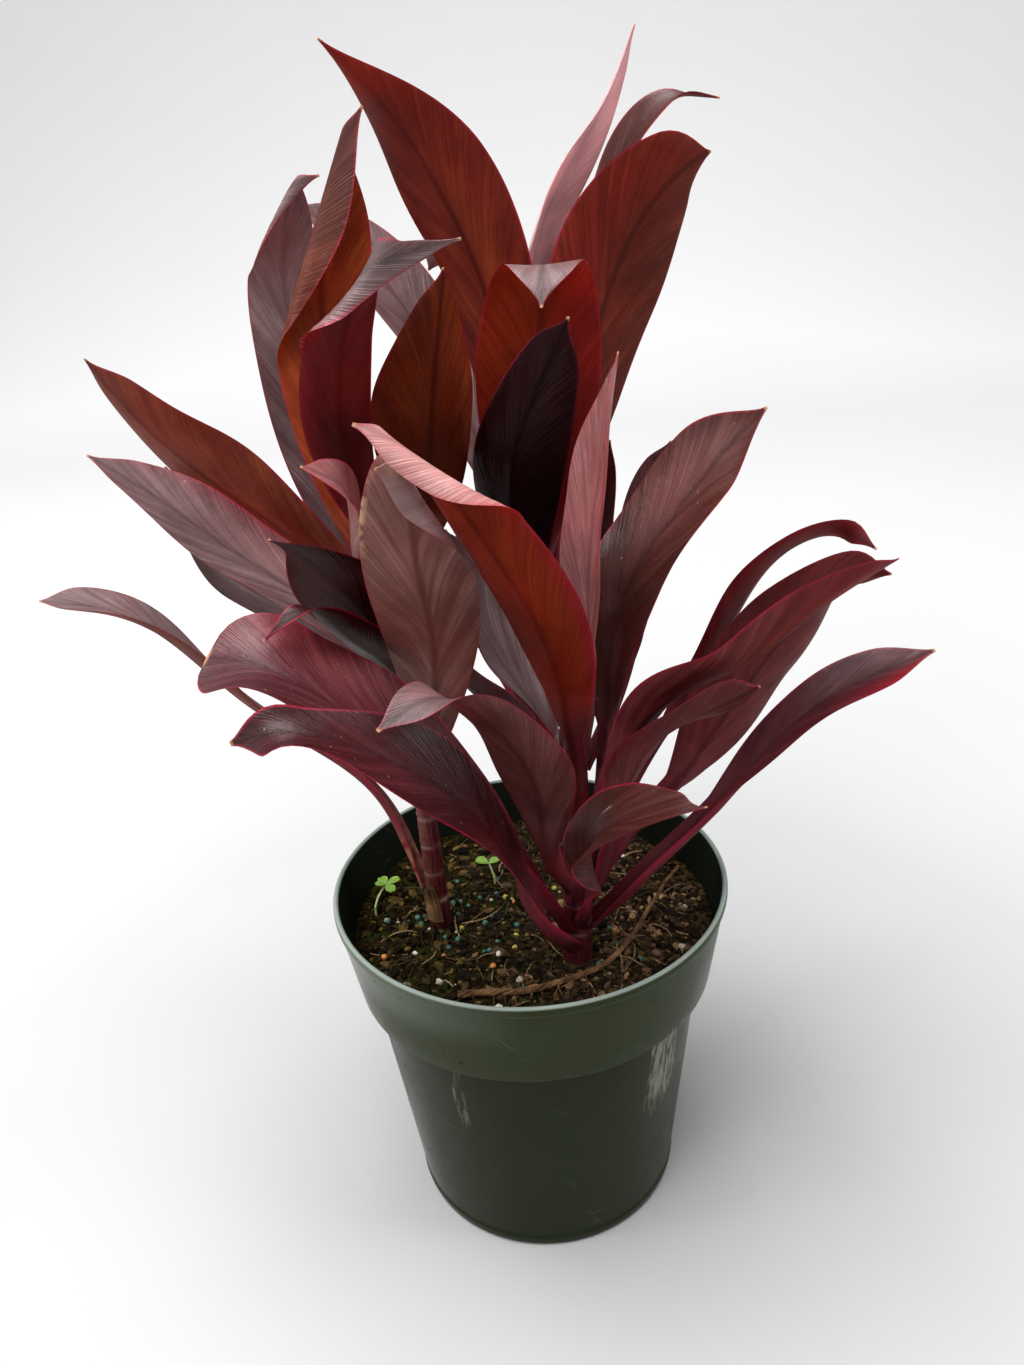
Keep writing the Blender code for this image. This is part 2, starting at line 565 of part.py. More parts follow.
def build_soil():
    """Potting mix: fills the pot to the inner wall, with plain holes for the canes and seedlings."""
    step = COLLAR_FOOT[1]
    body = (BODY_TOP_RADIUS - BASE_RADIUS) / step
    wall = [(BASE_RADIUS - WALL - SOIL_GAP, FLOOR + 0.3),
            (BODY_TOP_RADIUS - WALL - SOIL_GAP - 2.0 * body, step - 2.0),
            (inner_radius(step + 3.0) - SOIL_GAP, step + 3.0),
            (inner_radius(SOIL_LEVEL) - SOIL_GAP, SOIL_LEVEL - 0.5)]
    angles = 2 * math.pi * np.arange(POT_SEGMENTS) / POT_SEGMENTS
    verts = [(0.0, 0.0, wall[0][1])]
    for radius, height in wall:
        verts += [(radius * math.cos(a), radius * math.sin(a), height) for a in angles]
    top = len(verts)
    edge = wall[-1][0]
    for ring in range(1, SOIL_RINGS):
        radius = edge * (1 - ring / SOIL_RINGS)
        x, y = radius * np.cos(angles), radius * np.sin(angles)
        verts += list(zip(x, y, soil_height(x, y)))
    verts.append((0.0, 0.0, float(soil_height(0.0, 0.0))))
    faces = []
    for k in range(POT_SEGMENTS):
        n = (k + 1) % POT_SEGMENTS
        faces.append((0, 1 + n, 1 + k))
        for ring in range(len(wall) + SOIL_RINGS - 2):
            low, high = 1 + ring * POT_SEGMENTS, 1 + (ring + 1) * POT_SEGMENTS
            faces += [(low + k, low + n, high + n), (low + k, high + n, high + k)]
        inner = len(verts) - 1 - POT_SEGMENTS
        faces.append((inner + k, inner + n, len(verts) - 1))
    soil = add_object("potting_mix", verts, faces, material("potting_mix", (0.09, 0.06, 0.04), 0.9))
    boolean(soil, gather("chips", bark_chips()), "UNION")
    drills = []
    for name, cane in CANES.items():
        foot = cane["foot"]
        low = foot[2] - CANE_DEPTH - HOLE_GAP
        path = [(foot[0], foot[1], low), (foot[0], foot[1], foot[2] + 15)]
        drills.append(add_object(f"{name}_drill", *tube(path, [cane["radii"][0] + HOLE_GAP] * 2, CANE_SIDES),
                                 soil.data.materials[0]))
    for name, (x, y) in SEEDLING_FEET.items():
        path = [(x, y, SOIL_LEVEL - SEEDLING_DEPTH - HOLE_GAP), (x, y, SOIL_LEVEL + 12)]
        drills.append(add_object(f"{name}_drill", *tube(path, [SEEDLING_STEM + HOLE_GAP] * 2, 8),
                                 soil.data.materials[0]))
    boolean(soil, gather("holes", drills), "DIFFERENCE")
    return soil


def bark_chips():
    """Bark chips and perlite lumps, each half sunk in the mix, clear of the canes, seedlings and root."""
    mix = material("potting_mix", (0.09, 0.06, 0.04), 0.9)
    rng = np.random.RandomState(CHIP_SEED)
    keep_out = [(c["foot"][0], c["foot"][1], c["radii"][0] + 7) for c in CANES.values()]
    keep_out += [(x, y, 6.0) for x, y in SEEDLING_FEET.values()]
    line = spline(ROOT_PATH, np.linspace(0, 1, 60))
    keep_out += [(x, y, 7.5) for x, y in line[:, :2]]
    placed = []
    made = []
    while len(made) < CHIPS:
        reach = 66.0 * math.sqrt(rng.uniform())
        bearing = rng.uniform(0, 2 * math.pi)
        x, y = reach * math.cos(bearing), reach * math.sin(bearing)
        size = rng.uniform(3.5, 6.5)
        if any(math.hypot(x - a, y - b) < r + size - 3 for a, b, r in keep_out + placed):
            continue
        placed.append((x, y, size + 2.5))
        half = np.array([size, size * rng.uniform(0.45, 0.7), rng.uniform(1.2, 2.2)])
        corners = np.array([(i, j, k) for i in (-1, 1) for j in (-1, 1) for k in (-1, 1)], float)
        corners = corners * half * rng.uniform(0.75, 1.0, (8, 3))
        spin, tilt = rng.uniform(0, math.pi), rng.uniform(-0.35, 0.35)
        c, s = math.cos(spin), math.sin(spin)
        turn = np.array([[c, -s, 0], [s, c, 0], [0, 0, 1]])
        c, s = math.cos(tilt), math.sin(tilt)
        lean = np.array([[1, 0, 0], [0, c, -s], [0, s, c]])
        corners = corners @ (turn @ lean).T + (x, y, float(soil_height(x, y)) + 0.3)
        faces = [(0, 1, 3), (0, 3, 2), (4, 6, 7), (4, 7, 5), (0, 4, 5), (0, 5, 1),
                 (2, 3, 7), (2, 7, 6), (0, 2, 6), (0, 6, 4), (1, 5, 7), (1, 7, 3)]
        made.append(add_object(f"chip_{len(made)}", corners, faces, mix))
    return made


def build_cane(name):
    """Tapered cane with a groove at each old leaf scar, a plain foot in the mix and a furled tip."""
    cane = CANES[name]
    foot, head = np.array(cane["foot"], float), np.array(cane["head"], float)
    first, last = cane["radii"]
    path = [foot - (0, 0, CANE_DEPTH), foot + (0, 0, 0.5)]
    radii = [first, first]
    height = foot[2] + SCAR_STEP
    while height < head[2] - 2:
        for offset, groove in ((-1.2, 0.0), (0.0, SCAR_DEPTH), (1.2, 0.0)):
            point, radius = cane_axis(name, height + offset)
            path.append(point)
            radii.append(radius - groove)
        height += SCAR_STEP
    lean = (head - foot) / np.linalg.norm(head - foot)
    for share, thin in ((0, 1.0), (0.3, 0.85), (0.6, 0.6), (0.85, 0.3), (1.0, 0.0)):
        path.append(head + lean * cane["tip"] * share)
        radii.append(last * thin)
    skin = material("cane", (0.16, 0.02, 0.04), 0.45)
    return add_object(f"{name}_cane", *tube(path, radii, CANE_SIDES), skin)


def build_leaf(name, leaf):
    """One leaf with its stalk. A strongly rolled or folded blade gets a finer grid."""
    cups = leaf.get("cup", (60, 30, 25))
    along, across = (24, 8) if "fold" in leaf else (12, 6) if max(cups[1:]) > 45 else (11, 4)
    verts, faces = leaf_solid(leaf, along, across)
    return add_object(name, verts, faces, material("leaf", (0.14, 0.03, 0.05), 0.4))


def build_sheath():
    """Papery dry sheath: a thin half sleeve that stands off the left cane's foot and curls away at its top.
    """
    rows = []
    for t in np.linspace(0, 1, 9):
        point, radius = cane_axis("left", SHEATH_SPAN[0] + (SHEATH_SPAN[1] - SHEATH_SPAN[0]) * t)
        reach = radius + SHEATH_GAP + 0.35 + 2.2 * t**3
        half = math.radians(42 - 20 * t**2)
        bearings = math.radians(SHEATH_BEARING) + half * np.linspace(1, -1, 6)
        rows.append([point + reach * np.array([math.cos(a), math.sin(a), 0]) for a in bearings])
    points = np.array(rows)
    verts, faces = closed_sheet(points, 0.35, np.full(points.shape[:2], 0.35))
    return add_object("dry_sheath", verts, faces, material("dry_sheath", (0.35, 0.2, 0.1), 0.8))


def build_root():
    """Dry root that lies across the mix, just clear of it."""
    share = np.linspace(0, 1, 26)
    path = spline(ROOT_PATH, share)
    radii = ROOT_RADIUS * (1 - 0.45 * share)
    path[:, 2] = [lie + r + 0.5 for lie, r in zip(soil_above(path), radii)]
    return add_object("dry_root", *tube(path, radii, 6), material("dry_root", (0.3, 0.2, 0.12), 0.9))


def soil_above(path):
    """Highest mix within a few millimetres of each point, so that what lies there rests on the humps."""
    around = [(dx, dy) for dx in (-2, 0, 2) for dy in (-2, 0, 2)]
    return np.max([soil_height(path[:, 0] + dx, path[:, 1] + dy) for dx, dy in around], axis=0)


def leaflet(centre, bearing, rise, length, width):
    """Small round leaf blade, as a closed six-cornered plate that starts inside its stem."""
    ahead = np.array([math.cos(bearing) * math.cos(rise), math.sin(bearing) * math.cos(rise), math.sin(rise)])
    side = np.array([-math.sin(bearing), math.cos(bearing), 0])
    up = np.cross(ahead, side)
    outline = [(-0.3, -0.3), (length * 0.55, -width / 2), (length, -width * 0.3), (length * 0.88, 0),
               (length, width * 0.3), (length * 0.55, width / 2), (-0.3, 0.3)]
    count = len(outline)
    verts = [centre + ahead * a + side * b + up * c for c in (0.35, -0.35) for a, b in outline]
    faces = [tuple(range(count)), tuple(range(2 * count - 1, count - 1, -1))]
    faces += [(k, k + count, (k + 1) % count + count, (k + 1) % count) for k in range(count)]
    return verts, faces


def build_seedling(name, foot, bend, leaflets):
    """Seedling: a thin stem in a plain hole, with its leaflets fused on."""
    x, y = foot
    path = [(x, y, SOIL_LEVEL - SEEDLING_DEPTH), (x, y, SOIL_LEVEL + 2)]
    path += [(x + dx, y + dy, SOIL_LEVEL + dz) for dx, dy, dz in bend]
    fine = spline(path, np.linspace(0, 1, 9))
    fine[:, :2] = np.where(fine[:, 2:] < SOIL_LEVEL + 2, (x, y), fine[:, :2])
    stem = add_object(name, *tube(fine, [SEEDLING_STEM] * 9, 8), material("seedling", (0.2, 0.4, 0.08), 0.5))
    blades = []
    for k, (bearing, rise, length, width) in enumerate(leaflets):
        shape = leaflet(fine[-1] - (0, 0, 0.3), math.radians(bearing), math.radians(rise), length, width)
        blades.append(add_object(f"{name}_blade_{k}", *shape, stem.data.materials[0]))
    boolean(stem, gather(f"{name}_blades", blades), "UNION")
    return stem


def main():
    for old in list(bpy.data.objects):
        bpy.data.objects.remove(old)
    build_pot()
    build_soil()
    for name in CANES:
        build_cane(name)
    for name, leaf in LEAVES.items():
        build_leaf(name, leaf)
    build_sheath()
    build_root()
    for name, (foot, bend, leaflets) in SEEDLINGS.items():
        build_seedling(name, foot, bend, leaflets)


main()
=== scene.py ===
"""Looks of the ti plant in its green nursery pot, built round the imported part.

Every leaf, cane, seedling, root and the mix is a finer surface over the solid that it stands for. Sizes
and places are in millimetres until a mesh is made, with the part's own origin: the middle of the pot's
base, +Z up and the plant's front towards -Y.
"""
import functools
import math

import bmesh
import bpy
import numpy as np
from mathutils import Matrix


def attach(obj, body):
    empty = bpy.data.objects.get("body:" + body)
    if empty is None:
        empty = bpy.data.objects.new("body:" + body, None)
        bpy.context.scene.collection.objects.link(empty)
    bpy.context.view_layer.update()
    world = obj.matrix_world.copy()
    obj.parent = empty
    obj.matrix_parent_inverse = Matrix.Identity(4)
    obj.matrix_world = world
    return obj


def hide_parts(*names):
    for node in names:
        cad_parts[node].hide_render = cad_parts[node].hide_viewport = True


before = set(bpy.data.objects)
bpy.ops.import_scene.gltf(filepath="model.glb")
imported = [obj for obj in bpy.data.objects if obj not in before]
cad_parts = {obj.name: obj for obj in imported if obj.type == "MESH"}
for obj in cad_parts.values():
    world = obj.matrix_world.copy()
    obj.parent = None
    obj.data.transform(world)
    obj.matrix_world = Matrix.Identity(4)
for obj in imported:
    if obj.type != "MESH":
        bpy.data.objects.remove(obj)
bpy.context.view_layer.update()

MM = 0.001

# cells of each random lattice
NOISE_CELLS = 64

# camera: place, lens, and how far it looks down and leans
CAMERA_PLACE = (-1.2, -362.8, 401.0)
CAMERA_LENS = 28.0
SENSOR_WIDTH = 36.0
CAMERA_DOWN = 24.65
CAMERA_LEAN = -4.16

# pot, as in the part
POT_HEIGHT = 148.0
RIM_RADIUS = 80.0
COLLAR_FOOT = (73.5, 108.3)
BODY_TOP_RADIUS = 68.8
BASE_RADIUS = 56.8
WALL = 1.8
FLOOR = 2.2
DRAIN_HOLES = 6
DRAIN_RING = 44.0
DRAIN_RADIUS = 5.0
POT_SIDES = 192
DRILL_SIDES = 40
WALL_STEP = 6

# potting mix, as in the part, and what lies in it. A flake is a stack of rings, each at a height and
# shrunk.
SOIL_LEVEL = 128.0
SOIL_GAP = 0.4
SOIL_RINGS = 110
SOIL_SIDES = 360
BIG_CHIPS = 34
CHIP_SEED = 11
FLAKE_SEED = 21
FLAKE_CORNERS = 7
FLAKE_RINGS = ((-0.8, 0.85), (0.1, 1.0), (0.8, 0.72))
MEDIUM_CHIPS = 480
CRUMBS = 1500
FIBRES = 190
FIBRE_SEED = 45
FIBRE_REACH = 70.5
PRILLS = {"teal_prills": 46, "yellow_prills": 9, "orange_prills": 6}
PERLITE = 20
GRAIN_SEED = 33
GRAIN_SIDES = 10
GRAIN_RINGS = 7

# canes, as in the part: foot and head of the axis, radius at foot and head, length of the furled tip
CANE_DEPTH = 40.0
SCAR_STEP = 13.0
CANE_ROW = 0.7
CANE_SIDES = 48
# share of the furled tip, and the radius there as a share of the head's
TIP_THINNING = ((0, 0.3, 0.6, 0.85, 1), (1, 0.85, 0.6, 0.3, 0.02))
CANES = {
    "left": dict(foot=(-38, 0, 128), head=(-40, -2, 260), radii=(4.6, 2.8), tip=10),
    "right": dict(foot=(17, -27, 128), head=(20, -30, 236), radii=(6.0, 3.4), tip=16),
    "back": dict(foot=(12, 34, 128), head=(14, 38, 276), radii=(5.0, 3.0), tip=16),
}

# dry sheath round the left cane's foot, and the dry root across the mix
SHEATH_SPAN = (131, 152)
SHEATH_BEARING = 245
ROOT_RADIUS = 1.5
ROOT_SEED = 52
ROOT_ROWS = 120
ROOT_STRANDS = 5
ROOT_TURNS = 9
ROOT_HAIRS = 46
ROOT_PATH = [(-30, -48, 0), (-7, -48, 0), (16, -42, 0), (34, -30, 0), (44, -12, 0), (54, 6, 0), (66, 26, 0)]

# seedlings, as in the part: foot, the points that the stem bends through, and the leaflets as bearing,
# rise, length and width
SEEDLING_STEM = 0.7
SEEDLING_DEPTH = 8.0
SEEDLINGS = {
    "seedling_left": ((-66, 9), [(2, 4, 6), (5, 7, 9)],
                      [(20, 20, 6, 5), (120, 10, 6, 5), (200, 25, 5, 4), (300, 5, 6, 5)]),
    "seedling_middle": ((-15, 24), [(-1, 1, 6), (-2, 2, 9)], [(160, 20, 6, 6), (30, 15, 5, 5)]),
    "seedling_right": ((54, 22), [(3, 1, 6), (6, 3, 10)], [(40, 10, 7, 8), (170, 30, 4, 4)]),
}

# leaves: the part's blade, the finer sheet over it, and the sizes of rib, groove, stalk and clasping foot
BLADE = 0.8
SHEET = 0.5
RIB_DEPTH = 1.5
GROOVE_DEPTH = 0.45
GROOVE_HALF_WIDTH = 1.3
RIB_HALF_WIDTH = 2.2
STALK_HALF_WIDTH = 2.8
STALK_FADE = 0.85
STALK_IN_BLADE = 1.2
FOOT_SHARE = 0.12
TIP_SHARE = 0.1
SHEATH_GAP = 0.45
WAVES = 2.5
WIDEST_CLASP = 75
FLATTEST_ARC = 0.001
MIDRIB_STEPS = 400
LEAF_ROWS = 96
FOLDED_ROWS = 168
LEAF_COLUMNS = 20
# what a leaf has when its row doesn't say
USUAL_SHAPE = (1.1, 0.75)
USUAL_CUP = (60, 30, 25)
USUAL_WAVE = 0.06
USUAL_FOOT = 0.8
USUAL_FINISH = ("plum", "maroon")
# distance along which each leaf's pattern is shifted from the last one's
LEAF_SHIFT = 400.0

# The leaf values are the part's own. Each leaf clasps a cane at the height of its node above the mix and
# the bearing out; via is the path of its midrib, width the blade's full width, stalk the share that is
# stalk, turn the twist and cup the half angle of the cross-section's arc along the leaf, shape the
# exponents of the outline, wave the height of the margin's waves, point the share drawn in to the tip,
# stem the half width of a stout stalk, foot its gain at the cane, and fold the share, slant, angle and
# radius of a fold across the blade.
LEAVES = {
    "left_leaf_low": dict(
        cane="left", node=14, out=155, lean=165, width=36, stalk=0.45,
        via=[(-59, 12, 186), (-107, 24, 222), (-151, 28, 263), (-179, 24, 272)],
        turn=(0, -20, -40, 0), shape=(1.0, 0.6)),
    "left_leaf_outer_top": dict(
        cane="left", node=87, out=157, lean=165, width=44, stalk=0.25,
        via=[(-52, 8, 264), (-80, 20, 293), (-124, 27, 331), (-141, 23, 359)],
        turn=(0, -60, -60, -60)),
    "left_leaf_outer_mid": dict(
        cane="left", node=69, out=182, width=38, stalk=0.22,
        via=[(-60, 3, 257), (-97, 0, 294), (-117, -3, 314), (-138, -3, 331)],
        turn=(0, 20, 20, 10)),
    "left_leaf_outer_under": dict(
        cane="left", node=58, out=130, lean=160, width=48, stalk=0.25,
        via=[(-65, 30, 239), (-109, 43, 271), (-121, 46, 292), (-128, 46, 315)],
        turn=(0, 15, -5, -5)),
    "left_leaf_dark": dict(
        cane="left", node=82, out=-118, lean=-130, width=46, stalk=0.25,
        via=[(-44, -15, 258), (-54, -28, 284), (-64, -37, 300), (-74, -40, 308)],
        turn=(0, -20, -20, 5), cup=(60, 15, 15)),
    "left_leaf_slender": dict(
        cane="left", node=64, out=-106, lean=-120, width=38, stalk=0.3,
        via=[(-39, -22, 248), (-45, -31, 261), (-54, -43, 276), (-64, -55, 289), (-76, -60, 282)],
        turn=(0, 0, 0, 0), cup=(60, 30, 35, 20), shape=(1.0, 1.6)),
    "left_leaf_front_fold": dict(
        cane="left", node=56, out=-45, lean=-90, width=33, stalk=0.2,
        via=[(-27, -38, 256), (-26, -54, 288), (-27, -58, 300), (-27, -61, 314), (-26, -63, 325),
        (-22, -63, 345)],
        turn=(0, 0, 0, 0, 0), cup=(60, 15, 0, 0), shape=(1.0, 0.5), wave=0.02, fold=(0.865, 56, 156, 4.5)),
    "left_leaf_tall_curled": dict(
        cane="left", node=105, out=68, lean=150, width=31, stalk=0.22,
        via=[(-60, 28, 290), (-66, 31, 324), (-69, 32, 359), (-70, 34, 382), (-66, 33, 400),
        (-64, 30, 420)],
        turn=(0, 40, 40, 40, 40), cup=(60, 30, 20, 15), shape=(1.0, 0.9), wave=0.02,
        fold=(0.91, 58, -155, 2.5)),
    "left_leaf_tall_rolled": dict(
        cane="left", node=119, out=174, lean=-150, width=33, stalk=0.2,
        via=[(-51, 3, 289), (-56, 6, 328), (-56, 8, 358), (-53, 8, 383), (-50, 8, 405), (-44, 8, 433)],
        turn=(0, -60, -60, -60, -60), cup=(60, 10, 0, 0, 0), shape=(1.0, 0.6), wave=0, point=0.25,
        fold=(0.775, -72, 158, 3)),
    "left_leaf_tall_folded": dict(
        cane="left", node=114, out=-64, lean=-50, width=23, stalk=0.3,
        via=[(-42, -11, 289), (-49, -16, 323), (-48, -27, 351), (-43, -33, 368), (-38, -35, 380),
        (-32, -35, 414)],
        turn=(0, 15, 15, 15, 15), cup=(60, 40, 25, 15), shape=(1.0, 1.3), wave=0.03,
        fold=(0.79, -66, 160, 2.5)),
    "left_leaf_small": dict(
        cane="left", node=107, out=-140, lean=-100, width=24, stalk=0.4,
        via=[(-50, -12, 272), (-50, -26, 297), (-48, -36, 315), (-49, -43, 324), (-54, -47, 329),
        (-59, -49, 332)],
        turn=(0, 40, 80, 60)),
    "left_leaf_inner": dict(
        cane="left", node=122, out=45, lean=-30, width=40, stalk=0.3,
        via=[(-28, -3, 293), (-24, -4, 321), (-19, -8, 351), (-13, -15, 382)],
        turn=(0, 55, 25, 5), shape=(1.1, 0.9)),
    "right_leaf_low_broad": dict(
        cane="right", node=15, out=-145, lean=-140, width=52, stalk=0.3,
        via=[(-3, -53, 193), (-19, -65, 222), (-54, -71, 262), (-76, -66, 276), (-95, -58, 277)],
        turn=(0, 40, 38, 25), shape=(0.9, 0.48), wave=0.02, stem=4.4, point=0.02, foot=1.4),
    "right_leaf_low_front": dict(
        cane="right", node=7, out=-120, lean=-125, width=27, stalk=0.3,
        via=[(0, -69, 186), (-26, -99, 251), (-46, -107, 268), (-63, -109, 275), (-79, -104, 270)],
        turn=(0, 50, 60, 15), shape=(1.0, 0.75), stem=5, foot=1.5),
    "right_leaf_drooping": dict(
        cane="right", node=34, out=-121, lean=-105, width=26, stalk=0.25,
        via=[(7, -51, 196), (5, -63, 221), (0, -76, 244), (-11, -86, 264), (-23, -93, 274),
        (-39, -103, 270)],
        turn=(0, 0, 0, 10, 20), shape=(0.8, 0.8), stem=3.8),
    "right_leaf_under": dict(
        cane="right", node=60, out=170, width=34, stalk=0.2,
        via=[(4, -22, 217), (-8, -14, 230), (-22, -4, 242), (-32, 0, 254)],
        turn=(0, -5, -15, -10)),
    "right_leaf_grey": dict(
        cane="right", node=74, out=-160, width=42, stalk=0.2,
        via=[(11, -30, 226), (-9, -15, 259), (-16, -13, 279), (-20, -12, 299)],
        turn=(0, 30, 35, 30)),
    "right_leaf_arching": dict(
        cane="right", node=52, out=-100, width=34, stalk=0.3,
        via=[(19, -46, 221), (15, -54, 254), (7, -62, 284), (-3, -69, 306), (-13, -77, 326),
        (-34, -82, 354)],
        turn=(0, 20, 25, 30), shape=(1.0, 0.9), wave=0, stem=3.5, foot=1.6, fold=(0.89, 68, 145, 3.5)),
    "right_leaf_spear": dict(
        cane="right", node=90, out=-60, width=34, stalk=0.25,
        via=[(25, -38, 265), (27, -40, 300), (32, -44, 332), (36, -48, 358)],
        turn=(0, -85, -75, -50), stem=3.2),
    "right_leaf_glossy": dict(
        cane="right", node=58, out=-15, lean=40, width=40, stalk=0.25,
        via=[(31, -29, 231), (34, -27, 261), (42, -25, 282), (56, -21, 300), (69, -20, 316),
        (85, -26, 335)],
        turn=(0, -5, 5, 15), shape=(1.0, 0.5), wave=0.08, stem=3.2, point=0.2),
    "right_leaf_inner": dict(
        cane="right", node=88, out=95, lean=60, width=24, stalk=0.3,
        via=[(29, 0, 229), (32, 6, 263), (35, 8, 293), (39, 8, 321)],
        turn=(0, 25, 30, 25)),
    "right_leaf_behind": dict(
        cane="right", node=82, out=40, lean=55, width=32, stalk=0.35,
        via=[(43, -8, 250), (49, 2, 278), (55, 12, 297), (62, 18, 317)],
        turn=(0, 15, 30, 25)),
    "right_leaf_side_top": dict(
        cane="right", node=34, out=50, lean=40, width=26, stalk=0.33,
        via=[(51, 4, 199), (79, 18, 234), (92, 26, 252), (112, 29, 271), (132, 26, 275), (140, 19, 270)],
        turn=(0, 80, 70, 45), shape=(1.1, 1.0)),
    "right_leaf_side_broad": dict(
        cane="right", node=24, out=35, lean=25, width=44, stalk=0.32,
        via=[(40, -14, 175), (56, -6, 187), (84, 5, 217), (111, 8, 252), (126, 6, 265), (140, 2, 266)],
        turn=(0, 110, 90, 55), stem=4, foot=1.2),
    "right_leaf_side_front": dict(
        cane="right", node=36, out=-40, lean=-60, width=32, stalk=0.3,
        via=[(24, -40, 193), (33, -41, 220), (48, -40, 240), (72, -38, 250), (99, -32, 265),
        (132, -24, 281)],
        turn=(0, 25, -10, -20), cup=(60, 60, 60, 40), shape=(1.0, 0.6), stem=3.3),
    "right_leaf_side_small": dict(
        cane="right", node=28, out=-40, lean=-50, width=28, stalk=0.3,
        via=[(30, -41, 188), (37, -49, 219), (45, -52, 233), (59, -53, 242), (80, -49, 249)],
        turn=(0, -10, 0, 45), stem=3.6),
    "right_leaf_far": dict(
        cane="right", node=14, out=0, width=23, stalk=0.42,
        via=[(41, -32, 166), (65, -30, 189), (88, -28, 213), (110, -27, 232), (128, -26, 240),
        (146, -28, 248)],
        turn=(0, 0, -10, -15), shape=(1.0, 0.6), stem=4.4, point=0.2, foot=1.6),
    "right_leaf_over_rim": dict(
        cane="right", node=18, out=-71, lean=-20, width=36, stalk=0.22,
        via=[(20, -59, 192), (24, -73, 213), (34, -86, 224), (44, -94, 231), (53, -98, 235)],
        turn=(0, -65, 0, 20), cup=(60, 20, 10), shape=(1.1, 0.5), stem=3.4, point=0.2, foot=1.2),
    "back_leaf_tall_left": dict(
        cane="back", node=124, out=-170, lean=-160, width=44, stalk=0.25,
        via=[(5, 44, 304), (4, 50, 341), (-2, 52, 375), (-13, 52, 402), (-26, 50, 425), (-49, 40, 451)],
        turn=(0, -55, -35, -25), shape=(1.0, 0.62), point=0.35),
    "back_leaf_tall_right": dict(
        cane="back", node=114, out=-10, lean=-30, width=47, stalk=0.25,
        via=[(30, 40, 315), (38, 44, 349), (50, 46, 380), (61, 46, 396), (73, 48, 406), (82, 52, 410)],
        turn=(0, 50, 45, 40), shape=(1.1, 0.6)),
    "back_leaf_thin": dict(
        cane="back", node=132, out=105, lean=90, width=32, stalk=0.3,
        via=[(17, 58, 308), (14, 62, 346), (18, 63, 378), (30, 62, 405), (44, 60, 425), (56, 52, 450)],
        turn=(0, -35, -65, -65), shape=(1.1, 1.0)),
    "back_leaf_thin_arching": dict(
        cane="back", node=138, out=25, lean=50, width=20, stalk=0.35,
        via=[(33, 58, 311), (47, 74, 393), (59, 72, 420), (70, 68, 428), (87, 62, 427)],
        turn=(0, 30, 25, -5), shape=(1.1, 1.0)),
    "back_leaf_hooded": dict(
        cane="back", node=106, out=-100, lean=-90, width=43, stalk=0.22,
        via=[(15, 14, 335), (17, 8, 361), (18, 1, 375), (18, -6, 380), (17, -15, 378), (16, -22, 369)],
        turn=(0, 0, 0, 0, 0), cup=(40, 12, 8), shape=(1.0, 0.85), wave=0.02),
    "back_leaf_shaded": dict(
        cane="back", node=94, out=-140, lean=-110, width=36, stalk=0.2,
        via=[(3, 4, 296), (4, -6, 316), (12, -14, 340), (24, -24, 366)],
        turn=(0, 0, 15, 25)),
    "back_leaf_grey": dict(
        cane="back", node=100, out=150, lean=150, width=40, stalk=0.28,
        via=[(-4, 54, 303), (-31, 76, 361), (-59, 80, 395), (-70, 76, 403)],
        turn=(0, 25, 10, 10)),
    "back_leaf_drooping": dict(
        cane="back", node=112, out=85, lean=115, width=32, stalk=0.3,
        via=[(14, 72, 305), (2, 88, 344), (-8, 91, 369), (-16, 95, 380), (-23, 104, 375)],
        turn=(0, -15, -35, -25)),
    "rear_leaf_low": dict(
        cane="back", node=44, out=95, width=38, stalk=0.3,
        via=[(4, 70, 222), (0, 95, 248), (-4, 118, 258), (-6, 134, 248)],
        turn=(0, 10, 5, 0)),
    "rear_leaf_right": dict(
        cane="back", node=54, out=40, width=34, stalk=0.3,
        via=[(34, 62, 222), (48, 84, 245), (56, 100, 249), (61, 112, 238)],
        turn=(0, -10, 5, 0)),
    "rear_leaf_left": dict(
        cane="back", node=64, out=150, width=36, stalk=0.3,
        via=[(-14, 56, 232), (-38, 78, 254), (-56, 94, 254), (-70, 104, 240)],
        turn=(0, 10, -5, 0)),
    "rear_leaf_upright": dict(
        cane="back", node=82, out=55, width=34, stalk=0.28,
        via=[(22, 54, 252), (28, 72, 292), (33, 90, 325), (38, 104, 348)],
        turn=(0, 10, 0, 0)),
}

